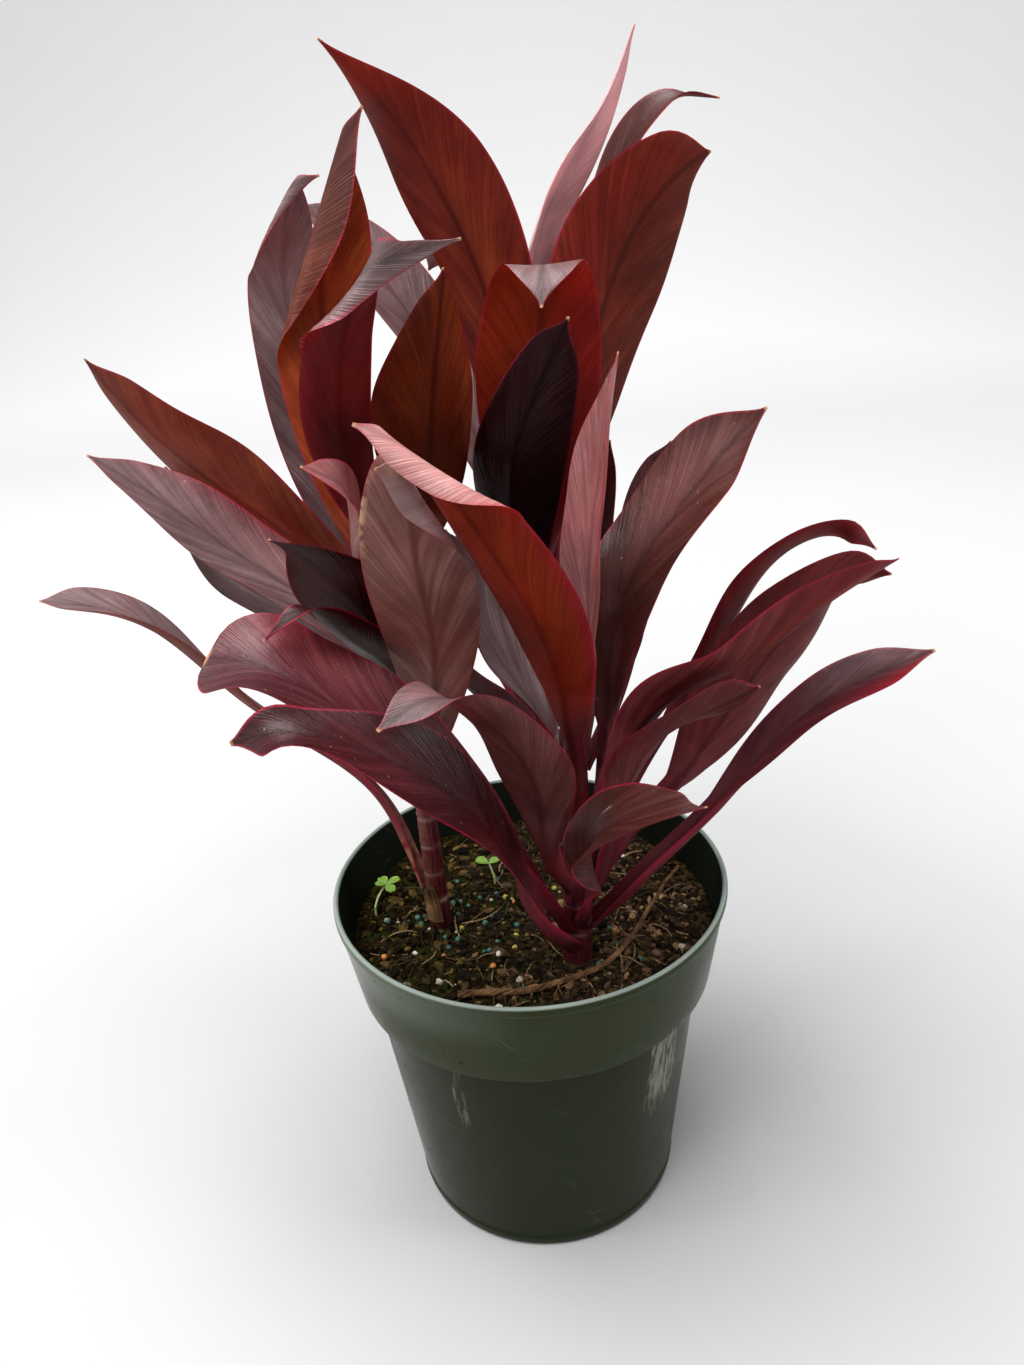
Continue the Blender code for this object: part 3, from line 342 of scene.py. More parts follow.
# Finish of each leaf's upper side and underside, for the leaves that don't have the usual plum over maroon.
FINISHES = {
    "left_leaf_low": ("sheen_slate", "copper"),
    "left_leaf_outer_top": ("sheen_mauve", "copper"),
    "left_leaf_outer_mid": ("sheen_slate", "maroon"),
    "left_leaf_outer_under": ("sheen_slate", "maroon"),
    "left_leaf_front_fold": ("sheen_ash", "taupe"),
    "left_leaf_tall_curled": ("sheen_slate", "sheen_slate_under"),
    "left_leaf_tall_rolled": ("umber", "flame"),
    "left_leaf_tall_folded": ("sheen_slate", "maroon"),
    "left_leaf_small": ("rose", "sheen_petal"),
    "left_leaf_inner": ("plum", "olive"),
    # these two undersides are painted near-black as shade
    "left_leaf_dark": ("plum", "shaded_maroon"),
    "left_leaf_slender": ("plum", "shaded_maroon"),
    "right_leaf_arching": ("blush", "rust"),
    "right_leaf_spear": ("rose", "sheen_petal"),
    "right_leaf_glossy": ("umber", "maroon"),
    "right_leaf_low_broad": ("wine", "crimson"),
    "right_leaf_low_front": ("plum", "crimson"),
    "right_leaf_drooping": ("sheen_slate", "mauve_under"),
    "right_leaf_over_rim": ("umber", "maroon"),
    "right_leaf_grey": ("sheen_slate", "maroon"),
    "right_leaf_side_top": ("umber", "crimson"),
    "right_leaf_side_broad": ("umber", "crimson"),
    "right_leaf_side_front": ("plum", "crimson"),
    "right_leaf_side_small": ("plum", "crimson"),
    "right_leaf_far": ("wine", "crimson"),
    "back_leaf_tall_left": ("sheen_slate", "ember"),
    "back_leaf_tall_right": ("sheen_slate", "rust"),
    "back_leaf_thin": ("sheen_ash", "sheen_pearl"),
    "back_leaf_thin_arching": ("umber", "crimson"),
    "back_leaf_hooded": ("sheen_slate", "scarlet"),
    # painted shadow: near-black on both sides
    "back_leaf_shaded": ("shadow_plum", "shadow_plum"),
    "back_leaf_grey": ("sheen_slate", "sheen_slate_under"),
    "back_leaf_drooping": ("sheen_slate", "sheen_slate_under"),
}

# Flushes, stains and painted light on single leaves: the kind, its middle and reach as shares of the
# leaf, its middle and reach across from -1 to 1, and its strength.
# orange is a painted glow, pink and grey are painted sheen, dark is painted shade; crimson and dry are real
STAIN_AND_LIGHT_KINDS = ("orange_glow", "crimson", "pink_sheen", "dark", "grey", "dry")
STAINS_AND_PAINTED_LIGHT = {
    "left_leaf_front_fold": [("dry", 0.84, 0.05, 1.0, 0.05, 1.0), ("dry", 0.97, 0.015, 0.2, 0.5, 0.8)],
    "left_leaf_inner": [("orange_glow", 0.80, 0.18, -0.6, 0.7, 0.7), ("dark", 0.45, 0.20, 0.0, 2.0, 0.7)],
    "left_leaf_tall_rolled": [("orange_glow", 0.55, 0.25, 0.6, 0.6, 0.5), ("crimson", 0.45, 0.25, -0.3, 0.4, 0.6)],
    "left_leaf_tall_folded": [("crimson", 0.55, 0.20, 0.9, 0.3, 0.5), ("dark", 0.50, 0.15, 0.0, 0.5, 0.5)],
    "left_leaf_outer_mid": [("crimson", 0.70, 0.30, 1.0, 0.3, 0.5), ("pink_sheen", 0.55, 0.20, 0.4, 0.4, 0.25)],
    "left_leaf_low": [("dry", 0.06, 0.07, 0.0, 2.0, 0.35)],
    "right_leaf_drooping": [("dark", 0.74, 0.05, 0.0, 0.8, 0.6), ("pink_sheen", 0.85, 0.08, 0.5, 0.4, 0.4)],
    "right_leaf_arching": [("orange_glow", 0.62, 0.15, -0.5, 0.5, 0.5), ("crimson", 0.55, 0.22, -1.0, 0.25, 0.8),
                           ("orange_glow", 0.80, 0.15, 0.3, 0.5, 0.25)],
    "right_leaf_glossy": [("dark", 0.45, 0.12, 0.3, 0.8, 0.5), ("pink_sheen", 0.78, 0.12, -0.4, 0.5, 0.2),
                          ("grey", 0.90, 0.07, 0.0, 0.8, 0.2)],
    "right_leaf_low_broad": [("crimson", 0.88, 0.12, 0.9, 0.5, 0.5), ("pink_sheen", 0.80, 0.15, 0.7, 0.3, 0.2)],
    "right_leaf_side_top": [("crimson", 0.80, 0.30, 0.9, 0.4, 0.4)],
    "right_leaf_side_front": [("orange_glow", 0.80, 0.20, -0.2, 0.5, 0.5), ("crimson", 0.95, 0.10, 0.0, 1.5, 0.6)],
    "right_leaf_far": [("crimson", 0.90, 0.10, 0.8, 0.4, 0.9)],
    "right_leaf_spear": [("crimson", 0.70, 0.30, 0.9, 0.5, 0.7), ("dark", 0.50, 0.30, 0.6, 0.3, 0.4)],
    "back_leaf_tall_left": [("orange_glow", 0.55, 0.18, -0.3, 0.25, 0.7), ("dark", 0.88, 0.10, 0.2, 0.6, 0.6)],
    "back_leaf_tall_right": [("crimson", 0.75, 0.20, 0.6, 0.4, 0.3)],
    "back_leaf_hooded": [("orange_glow", 0.74, 0.14, 0.4, 0.6, 0.5), ("crimson", 0.70, 0.20, -0.8, 0.5, 0.5),
                         ("dark", 0.38, 0.20, 0.0, 2.0, 0.8)],
}


def value_noise(x, y, size, seed):
    """Smooth random field from -1 to 1: a random value at each corner of a square lattice, eased between
    them."""
    table = np.random.RandomState(seed).uniform(-1, 1, (NOISE_CELLS, NOISE_CELLS))
    i, j = np.floor(x / size).astype(int), np.floor(y / size).astype(int)
    a, b = x / size - i, y / size - j
    a, b = a * a * (3 - 2 * a), b * b * (3 - 2 * b)
    i, j = i % NOISE_CELLS, j % NOISE_CELLS
    after, above = (i + 1) % NOISE_CELLS, (j + 1) % NOISE_CELLS
    near = table[i, j] * (1 - a) + table[after, j] * a
    far = table[i, above] * (1 - a) + table[after, above] * a
    return near * (1 - b) + far * b


def hump(x, half):
    """Bell curve that is one at nothing and falls away past the distance half."""
    return np.exp(-(x / half)**2)


def unit(vectors):
    """Vectors scaled to length one."""
    return vectors / np.linalg.norm(vectors, axis=-1, keepdims=True)


def stacked(*parts):
    """Points, or other rows of numbers, from parts that are spread over the same grid."""
    return np.stack(np.broadcast_arrays(*parts), -1)


def steps_round(sides):
    """Angles of equal steps round a circle."""
    return 2 * math.pi * np.arange(sides) / sides


def path_lengths(points):
    """Length of a path up to each of its points."""
    return np.concatenate([[0.0], np.cumsum(np.linalg.norm(np.diff(points, axis=0), axis=1))])


def between(at, knots, rows):
    """Rows of numbers at the given places, straight between their knots."""
    return np.stack([np.interp(at, knots, part) for part in rows.T], -1)


def spline(points, share):
    """Natural cubic through the points, spaced by chord length, at the given shares of that length."""
    points = np.asarray(points, float)
    knots = path_lengths(points)
    count = len(points)
    gap = np.diff(knots)
    system = np.eye(count)
    right = np.zeros_like(points)
    for i in range(1, count - 1):
        system[i, i - 1:i + 2] = gap[i - 1], 2 * (gap[i - 1] + gap[i]), gap[i]
        right[i] = 6 * ((points[i + 1] - points[i]) / gap[i] - (points[i] - points[i - 1]) / gap[i - 1])
    bend = np.linalg.solve(system, right)
    x = np.asarray(share) * knots[-1]
    i = np.clip(np.searchsorted(knots, x, side="right") - 1, 0, count - 2)
    after = (knots[i + 1] - x)[:, None]
    before = (x - knots[i])[:, None]
    h = gap[i][:, None]
    cubic = (bend[i] * after**3 + bend[i + 1] * before**3) / (6 * h)
    line = (points[i] / h - bend[i] * h / 6) * after + (points[i + 1] / h - bend[i + 1] * h / 6) * before
    return cubic + line


def ease(knots, share):
    """Value at each share, joined smoothly between knots spaced evenly from foot to tip."""
    knots = np.asarray(knots, float)
    at = np.linspace(0, 1, len(knots))
    i = np.clip(np.searchsorted(at, share, side="right") - 1, 0, len(knots) - 2)
    t = (share - at[i]) / (at[i + 1] - at[i])
    t = t * t * (3 - 2 * t)
    return knots[i] * (1 - t) + knots[i + 1] * t


def cane_axis(name, height):
    """Points on a cane's axis and the cane's radius there, by height above the pot's base."""
    cane = CANES[name]
    foot, head = np.array(cane["foot"], float), np.array(cane["head"], float)
    share = (np.asarray(height, float) - foot[2]) / (head[2] - foot[2])
    first, last = cane["radii"]
    return foot + (head - foot) * share[..., None], first + (last - first) * share


def blade_share(leaf, share):
    """Share of the blade that lies behind each share of the leaf."""
    return np.clip((share - leaf["stalk"]) / (1 - leaf["stalk"]), 0, 1)


def half_width(leaf, share):
    """Half width along the leaf: a stalk that widens into the clasping foot, then the swelling blade, which
    is t^a (1 - t)^b over its own peak and is drawn in to a point."""
    t = blade_share(leaf, share)
    a, b = leaf.get("shape", USUAL_SHAPE)
    peak = a / (a + b)
    blade = t**a * (1 - t)**b / (peak**a * (1 - peak)**b)
    point = np.clip((1 - t) / leaf.get("point", TIP_SHARE), 0, 1)
    blade = blade * point * (2 - point)
    foot = leaf.get("foot", USUAL_FOOT) * np.clip(1 - share / FOOT_SHARE, 0, 1)**2
    stalk = leaf.get("stem", STALK_HALF_WIDTH) + foot
    return stalk * (1 - STALK_FADE * t) + (leaf["width"] / 2 - STALK_IN_BLADE) * blade


def fold_over(points, centre, across, along, out, fold):
    """Bends what lies beyond a slanting line round a cylinder, under the blade for a positive angle."""
    slant = math.radians(fold[1])
    angle = math.radians(abs(fold[2]))
    radius = fold[3]
    axis = math.cos(slant) * across + math.sin(slant) * along
    ahead = math.cos(slant) * along - math.sin(slant) * across
    way = -math.copysign(1.0, fold[2]) * out
    rel = points - centre
    depth = rel @ ahead
    rise = rel @ way
    swing = np.clip(depth / radius, 0, angle)
    rest = np.maximum(depth - radius * angle, 0)
    past = depth > 0
    bent_depth = np.where(past, (radius - rise) * np.sin(swing) + rest * np.cos(swing), depth)
    bent_rise = np.where(past, radius - (radius - rise) * np.cos(swing) + rest * np.sin(swing), rise)
    return (centre + (rel @ axis)[..., None] * axis + bent_depth[..., None] * ahead
            + bent_rise[..., None] * way)


def leaf_sheet(leaf, rows, columns):
    """Middle surface of a leaf. Row s is the point at the share s of the midrib plus, for each u from -1 to
    1, an arc of half angle cup across the twisted side direction and a margin that waves with sin(2 pi
    WAVES s). Returns the points, s, u, the distance from the midrib, the distance from the foot and the
    blade's share."""
    axis, radius = cane_axis(leaf["cane"], leaf["node"] + SOIL_LEVEL)
    out, lean = leaf["out"], leaf.get("lean", leaf["out"])
    clasp = radius + SHEATH_GAP + BLADE / 2
    foot = axis + clasp * np.array([math.cos(math.radians(out)), math.sin(math.radians(out)), 0])
    fine = spline([foot] + list(leaf["via"]), np.linspace(0, 1, MIDRIB_STEPS + 1))
    length = path_lengths(fine)
    share = np.linspace(0, 1, rows + 1)
    at = share * length[-1]
    mid = between(at, length, fine)
    tangent = unit(between(at, length, np.gradient(fine, axis=0)))
    level = np.array([math.sin(math.radians(lean)), -math.cos(math.radians(lean)), 0])
    side = unit(level - (tangent @ level)[:, None] * tangent)
    normal = np.cross(side, tangent)
    turn = [leaf["turn"][0] + lean - out, *leaf["turn"][1:]]
    turn = np.radians(ease(turn, share))[:, None]
    side, normal = np.cos(turn) * side + np.sin(turn) * normal, np.cos(turn) * normal - np.sin(turn) * side
    half = half_width(leaf, share)[:, None]
    u = np.linspace(-1, 1, columns + 1)
    u = (np.sign(u) * np.abs(u)**1.5)[None, :]
    cup = list(leaf.get("cup", USUAL_CUP))
    cup[0] = min(math.degrees(half[0, 0] / clasp), WIDEST_CLASP)
    arc = np.radians(ease(cup, share))[:, None]
    arc = np.where(np.abs(arc) < FLATTEST_ARC, FLATTEST_ARC, arc)
    x = half * np.sin(arc * u) / arc
    t = blade_share(leaf, share)[:, None]
    wave = np.sin(2 * math.pi * WAVES * share[:, None] + leaf["node"] + 1.3 * np.sign(u))
    z = half * (1 - np.cos(arc * u)) / arc
    z = z + half * leaf.get("wave", USUAL_WAVE) * np.sin(math.pi * t) * u**2 * wave
    points = mid[:, None] + x[..., None] * side[:, None] + z[..., None] * normal[:, None]
    if "fold" in leaf:
        line = [between(leaf["fold"][0], share, part) for part in (mid, side, tangent, normal)]
        points = fold_over(points, *line, leaf["fold"])
    return points, *np.broadcast_arrays(share[:, None], u, half * u, at[:, None], t)


def sheet_normals(points):
    """Unit normals of a grid of points, on the side that faces up the blade."""
    return unit(np.cross(np.gradient(points, axis=1), np.gradient(points, axis=0)))


def grid_faces(index, wrap=False):
    """Quads between neighbouring rows and columns of a grid of vertex numbers, joined round if wrap."""
    if wrap:
        index = np.concatenate([index, index[:, :1]], axis=1)
    return np.stack([index[:-1, :-1], index[:-1, 1:], index[1:, 1:], index[1:, :-1]], -1).reshape(-1, 4)


def ring_faces(rows, sides):
    """Faces of a closed body of rings: the quads between the rings, and the fans of triangles to the two
    end points that come after them."""
    index = np.arange(rows * sides).reshape(rows, sides)
    after = np.roll(index, -1, axis=1)
    end = np.full(sides, index.size)
    fans = [np.stack([end, after[0], index[0]], -1), np.stack([end + 1, index[-1], after[-1]], -1)]
    return grid_faces(index, wrap=True), np.concatenate(fans)


def copies(faces, size, count):
    """The same faces for each of many copies of a shape that has size points."""
    start = size * np.arange(count)[:, None, None]
    return list((faces + start).reshape(-1, faces.shape[-1]))


def thin_shell(sheet, half):
    """Closed shell at the distance half to each side of a sheet. Returns its points and faces."""
    normal = sheet_normals(sheet) * half
    points = np.concatenate([(sheet + normal).reshape(-1, 3), (sheet - normal).reshape(-1, 3)])
    index = np.arange(len(points) // 2).reshape(sheet.shape[:2])
    edge = np.concatenate([index[0, :], index[1:, -1], index[-1, -2::-1], index[-2:0:-1, 0]])
    after = np.roll(edge, -1)
    faces = list(grid_faces(index)) + list(grid_faces(index[:, ::-1] + index.size))
    return points, faces + list(np.stack([after, edge, edge + index.size, after + index.size], -1))


def new_mesh(name, points, faces):
    """Mesh from points in metres and faces of vertex numbers."""
    mesh = bpy.data.meshes.new(name)
    mesh.from_pydata(np.asarray(points, float).tolist(), [], [list(map(int, face)) for face in faces])
    return mesh


def add_object(name, data):
    """Object of this mesh, lamp or camera, put in the scene."""
    made = bpy.data.objects.new(name, data)
    bpy.context.scene.collection.objects.link(made)
    return made


def make_piece(name, points, faces, finishes, slot, stands_for=(), sharp=50.0, slots=None, fields=None):
    """Mesh object from millimetre points. Faces are turned outwards, smooth, and creased past an angle.
    fields gives named values for each vertex, and slots the finish number of each face."""
    mesh = new_mesh(name, np.asarray(points, float) * MM, faces)
    for key, values in (fields or {}).items():
        kind, part = ("FLOAT_VECTOR", "vector") if np.ndim(values) == 2 else ("FLOAT", "value")
        carried = mesh.attributes.new(key, kind, "POINT")
        carried.data.foreach_set(part, np.asarray(values, np.float32).ravel())
    for finish in finishes:
        mesh.materials.append(finish)
    if slots is not None:
        mesh.polygons.foreach_set("material_index", np.asarray(slots, np.int32))
    bm = bmesh.new()
    bm.from_mesh(mesh)
    if bm.calc_volume(signed=True) < 0:
        bmesh.ops.reverse_faces(bm, faces=bm.faces)
    bm.to_mesh(mesh)
    bm.free()
    mesh.polygons.foreach_set("use_smooth", np.ones(len(mesh.polygons), bool))
    mesh.set_sharp_from_angle(angle=math.radians(sharp))
    made = add_object(name, mesh)
    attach(made, "root")
    if stands_for:
        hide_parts(*stands_for)
    return made


def build_leaf(name, leaf):
    """One leaf: upper and lower sheets that meet at the margins. The upper one is grooved along the midrib
    and the lower one swells there, each as exp(-(x / half width)^2) fading towards the tip. Along the stalk
    the lower one is also swollen by half of its half width, as sqrt(1 - u^2)."""
    rows = FOLDED_ROWS if "fold" in leaf else LEAF_ROWS
    points, share, u, x, along, blade = leaf_sheet(leaf, rows, LEAF_COLUMNS)
    normal = sheet_normals(points)
    fading = (1 - share)**1.2
    stalk = np.clip(1 - blade / 0.14, 0, 1) * np.clip((share - 0.03) / 0.09, 0, 1)
    swell = 0.5 * half_width(leaf, share) * stalk * np.sqrt(np.clip(1 - u**2, 0, 1))
    edge = np.sqrt(np.clip(1 - np.abs(u)**10, 0, 1))
    over = edge * (SHEET / 2 - GROOVE_DEPTH * fading * hump(x, GROOVE_HALF_WIDTH))
    under = edge * (SHEET / 2 + RIB_DEPTH * fading * hump(x, RIB_HALF_WIDTH)) + swell
    upper = points + normal * over[..., None]
    lower = points - normal * under[..., None]
    index = np.arange(share.size).reshape(share.shape)
    inner = share.size + np.arange(share[:, 1:-1].size).reshape(len(share), -1)
    below = np.concatenate([index[:, :1], inner, index[:, -1:]], axis=1)
    faces = list(grid_faces(index)) + list(grid_faces(below[:, ::-1]))
    slots = [0] * (len(faces) // 2) + [1] * (len(faces) // 2)
    for row, way in ((0, 1), (-1, -1)):
        top, bottom = index[row, ::way], below[row, ::way]
        faces.append([top[0], bottom[1], top[1]])
        faces += [[top[k], bottom[k], bottom[k + 1], top[k + 1]] for k in range(1, len(top) - 2)]
        faces.append([top[-2], bottom[-2], top[-1]])
    slots += [1] * (len(faces) - len(slots))

    def both(values):
        return np.concatenate([values.reshape(-1, 3), values[:, 1:-1].reshape(-1, 3)])

    shift = LEAF_SHIFT * list(LEAVES).index(name)
    # stains and painted light of this leaf: orange glow, pink and grey sheen and dark shade are painted
    stains_and_light = np.zeros((len(STAIN_AND_LIGHT_KINDS),) + u.shape)
    for kind, middle, reach, across, wide, strength in STAINS_AND_PAINTED_LIGHT.get(name, []):
        layer = stains_and_light[STAIN_AND_LIGHT_KINDS.index(kind)]
        layer[:] = np.maximum(layer, strength * hump(share - middle, reach) * hump(u - across, wide))
    top_tint, bottom_tint = FINISHES.get(name, USUAL_FINISH)
    verts = np.concatenate([upper.reshape(-1, 3), lower[:, 1:-1].reshape(-1, 3)])
    finishes = [leaf_finish("upper", top_tint), leaf_finish("under", bottom_tint)]
    return make_piece(f"{name}_blade", verts, faces, finishes, "leaf", [name], slots=slots, fields={
        "span": both(stacked(x, along + shift, blade)), "place": both(stacked(u, share, 0)),
        "glow_crimson_sheen": both(stacked(*stains_and_light[:3])), "shade_sheen_dry": both(stacked(*stains_and_light[3:]))})


def soil_height(x, y):
    """Height of the mix: nearly level, with soft humps a few centimetres apart."""
    humps = 1.1 * np.sin(x / 9.0 + 0.7) * np.cos(y / 11.0)
    humps = humps + 0.8 * np.sin((x + y) / 7.0) * np.cos((x - 2 * y) / 15.0)
    return SOIL_LEVEL - 0.8 + humps


def crumbly_height(x, y):
    """The mix's humps with crumbs of three sizes on them, as folded and plain random fields."""
    crumbs = 0.9 * value_noise(x, y, 4.6, 3) + 0.7 * np.abs(value_noise(x, y, 2.1, 4))
    crumbs = crumbs + 0.4 * np.abs(value_noise(x, y, 1.1, 5))
    return soil_height(x, y) + crumbs - 0.3


def inner_radius(height):
    """Radius of the pot's inner wall at a height in its collar."""
    share = (height - COLLAR_FOOT[1]) / (POT_HEIGHT - COLLAR_FOOT[1])
    return COLLAR_FOOT[0] + (RIM_RADIUS - COLLAR_FOOT[0]) * share - WALL - 0.4


def revolve(profile, sides):
    """Solid of revolution: the (radius, height) points of a profile that starts and ends on the axis,
    turned round Z in equal steps."""
    profile = np.asarray(profile, float)
    angle = steps_round(sides)
    radius, height = profile[1:-1, :1], profile[1:-1, 1:]
    points = stacked(radius * np.cos(angle), radius * np.sin(angle), height).reshape(-1, 3)
    quads, fans = ring_faces(len(radius), sides)
    return np.concatenate([points, [(0, 0, profile[0, 1]), (0, 0, profile[-1, 1])]]), list(quads) + list(fans)


def rounded(corners, steps=5):
    """Profile whose corners are eased: each corner becomes steps points on a quadratic between the points
    at its own radius before and after it. Each corner is its distance from
    the axis, its height and its radius."""
    profile = np.asarray(corners, float)[:, :2]
    out = [profile[0]]
    for before, corner, after, (_, _, radius) in zip(profile, profile[1:], profile[2:], corners[1:]):
        a = corner + (before - corner) * min(radius / np.linalg.norm(before - corner), 0.45)
        b = corner + (after - corner) * min(radius / np.linalg.norm(after - corner), 0.45)
        out += [(1 - t)**2 * a + 2 * t * (1 - t) * corner + t * t * b for t in np.linspace(0, 1, steps)]
    return np.array(out + [profile[-1]])


def build_pot():
    """Pot: the part's profile with eased corners, turned round Z, and drain holes cut through its floor."""
    step = COLLAR_FOOT[1]
    lip = inner_radius(POT_HEIGHT)
    eased = rounded([
        (0, 0, 0), (BASE_RADIUS - 2.0, 0, 1.0), (BASE_RADIUS, 1.2, 0.8), (BASE_RADIUS + 0.6, 5.0, 0.6),
        (BASE_RADIUS + 0.2, 6.2, 0.4), (BODY_TOP_RADIUS, step, 0.6), (COLLAR_FOOT[0], step, 0.9),
        (RIM_RADIUS - 0.9, POT_HEIGHT - 4.2, 0.8), (RIM_RADIUS, POT_HEIGHT - 3.2, 0.4),
        (RIM_RADIUS, POT_HEIGHT - 0.8, 0.5), (RIM_RADIUS - 0.8, POT_HEIGHT, 0.5),
        (lip + 0.6, POT_HEIGHT, 0.4), (lip, POT_HEIGHT - 0.7, 0.4),
        (inner_radius(step + 2.5), step + 2.5, 1.0),
        (BODY_TOP_RADIUS - WALL, step - 2.0, 1.0), (BASE_RADIUS - WALL, FLOOR, 1.5), (0, FLOOR, 0)])
    walls = []
    for a, b in zip(eased, eased[1:]):
        count = max(1, int(np.linalg.norm(b - a) / WALL_STEP))
        walls += [a + (b - a) * k / count for k in range(count)]
    pot = make_piece("pot_shell", *revolve(np.array(walls + [eased[-1]]), POT_SIDES), [pot_plastic()], "pot",
                     ["nursery_pot"], sharp=35)
    drill = [(0, -2), (DRAIN_RADIUS, -2), (DRAIN_RADIUS, FLOOR + 2), (0, FLOOR + 2)]
    points, faces = revolve(drill, DRILL_SIDES)
    for angle in 2 * math.pi * (np.arange(DRAIN_HOLES) + 0.5) / DRAIN_HOLES:
        centre = np.array([DRAIN_RING * math.cos(angle), DRAIN_RING * math.sin(angle), 0])
        cut_hole(pot, new_mesh("drill", (points + centre) * MM, faces))
    return pot


def cut_hole(target, mesh):
    """Cuts a solid out of an object and removes the solid."""
    drill = add_object("drill", mesh)
    step = target.modifiers.new("hole", "BOOLEAN")
    step.operation = "DIFFERENCE"
    step.solver = "MANIFOLD"
    step.object = drill
    bpy.context.view_layer.update()
    evaluated = target.evaluated_get(bpy.context.evaluated_depsgraph_get())
    shape = bpy.data.meshes.new_from_object(evaluated)
    target.modifiers.clear()
    target.data = shape
    bpy.data.objects.remove(drill)


def build_soil():
    """Potting mix: a closed body inside the pot, under a crumbly top on a grid of rings."""
    step = COLLAR_FOOT[1]
    slope = (BODY_TOP_RADIUS - BASE_RADIUS) / step
    wall = np.array([(BASE_RADIUS - WALL - SOIL_GAP, FLOOR + 0.3),
                     (BODY_TOP_RADIUS - WALL - SOIL_GAP - 2.0 * slope, step - 2.0),
                     (inner_radius(step + 3.0) - SOIL_GAP, step + 3.0)])
    angle = steps_round(SOIL_SIDES)
    lower = stacked(wall[:, :1] * np.cos(angle), wall[:, :1] * np.sin(angle), wall[:, 1:])
    radius = (inner_radius(SOIL_LEVEL) - SOIL_GAP) * (1 - np.arange(SOIL_RINGS)[:, None] / SOIL_RINGS)
    x, y = radius * np.cos(angle), radius * np.sin(angle)
    points = np.concatenate([lower, stacked(x, y, crumbly_height(x, y))]).reshape(-1, 3)
    middle = crumbly_height(np.zeros(1), np.zeros(1))[0]
    quads, fans = ring_faces(len(points) // SOIL_SIDES, SOIL_SIDES)
    return make_piece("mix_crumbs", np.concatenate([points, [(0, 0, wall[0, 1]), (0, 0, middle)]]),
                      list(quads) + list(fans), [mix_earth()], "mix", ["potting_mix"], sharp=180)


def big_chip_places():
    """Places and sizes of the part's bark chips, drawn in the same order from the same seed."""
    rng = np.random.RandomState(CHIP_SEED)
    keep_out = [(c["foot"][0], c["foot"][1], c["radii"][0] + 7) for c in CANES.values()]
    keep_out += [(row[0][0], row[0][1], 6.0) for row in SEEDLINGS.values()]
    line = spline(ROOT_PATH, np.linspace(0, 1, 60))
    keep_out += [(x, y, 7.5) for x, y in line[:, :2]]
    placed = []
    rows = []
    while len(rows) < BIG_CHIPS:
        reach = 66.0 * math.sqrt(rng.uniform())
        bearing = rng.uniform(0, 2 * math.pi)
        x, y = reach * math.cos(bearing), reach * math.sin(bearing)
        size = rng.uniform(3.5, 6.5)
        if any(math.hypot(x - a, y - b) < r + size - 3 for a, b, r in keep_out + placed):
            continue
        placed.append((x, y, size + 2.5))
        half = (size, size * rng.uniform(0.45, 0.7), rng.uniform(1.2, 2.2))
        rng.uniform(0.75, 1.0, (8, 3))
        rows.append((x, y, *half, rng.uniform(0, math.pi), rng.uniform(-0.35, 0.35)))
    return np.array(rows)


def spread(rng, count, reach):
    """Random places on the mix, evenly over the circle and clear of the canes."""
    places = np.zeros((0, 2))
    while len(places) < count:
        r, a = reach * np.sqrt(rng.uniform(size=count)), rng.uniform(0, 2 * math.pi, count)
        more = np.stack([r * np.cos(a), r * np.sin(a)], -1)
        for cane in CANES.values():
            away = np.hypot(more[:, 0] - cane["foot"][0], more[:, 1] - cane["foot"][1])
            more = more[away > cane["radii"][0] + 1.0]
        places = np.concatenate([places, more])
    return places[:count]


def turns(spin, tilt):
    """Rotation matrices for a tilt about X followed by a spin about Z, one for each value."""
    zero, one = 0 * spin, 1 + 0 * spin
    about_z = [np.cos(spin), -np.sin(spin), zero, np.sin(spin), np.cos(spin), zero, zero, zero, one]
    about_x = [one, zero, zero, zero, np.cos(tilt), -np.sin(tilt), zero, np.sin(tilt), np.cos(tilt)]
    return np.stack(about_z, -1).reshape(-1, 3, 3) @ np.stack(about_x, -1).reshape(-1, 3, 3)


def flakes(rng, place, half, spin, tilt):
    """Bark flakes: a seven-cornered plate each, narrower at its top, with every corner moved at random,
    scaled to its half sizes and turned. Returns the points and faces of all of them."""
    grid = (len(place), FLAKE_CORNERS)
    angle = 2 * math.pi * (np.arange(FLAKE_CORNERS) + rng.uniform(-0.3, 0.3, grid)) / FLAKE_CORNERS
    reach = rng.uniform(0.7, 1.05, grid)
    rings = []
    for height, shrink in FLAKE_RINGS:
        out = reach * rng.uniform(0.88, 1.1, grid) * shrink
        rings.append(stacked(out * np.cos(angle), out * np.sin(angle),
                             height + rng.uniform(-0.15, 0.15, grid)))
    ends = [np.zeros((len(place), 1, 3)) + (0, 0, height) for height in (-1.0, 0.95)]
    points = np.concatenate(rings + ends, axis=1) * half[:, None]
    points = np.einsum("nij,nkj->nki", turns(spin, tilt), points) + place[:, None]
    quads, fans = (copies(faces, points.shape[1], len(place))
                   for faces in ring_faces(len(rings), FLAKE_CORNERS))
    return points.reshape(-1, 3), quads + fans


def scatter(rng, name, count, points, faces, finish, sharp=50.0):
    """Piece of many small things in the mix, with a random shade for each."""
    shade = np.repeat(rng.uniform(0, 1, count), len(points) // count)
    return make_piece(name, points, faces, [finish], "mix", sharp=sharp, fields={"shade": shade})


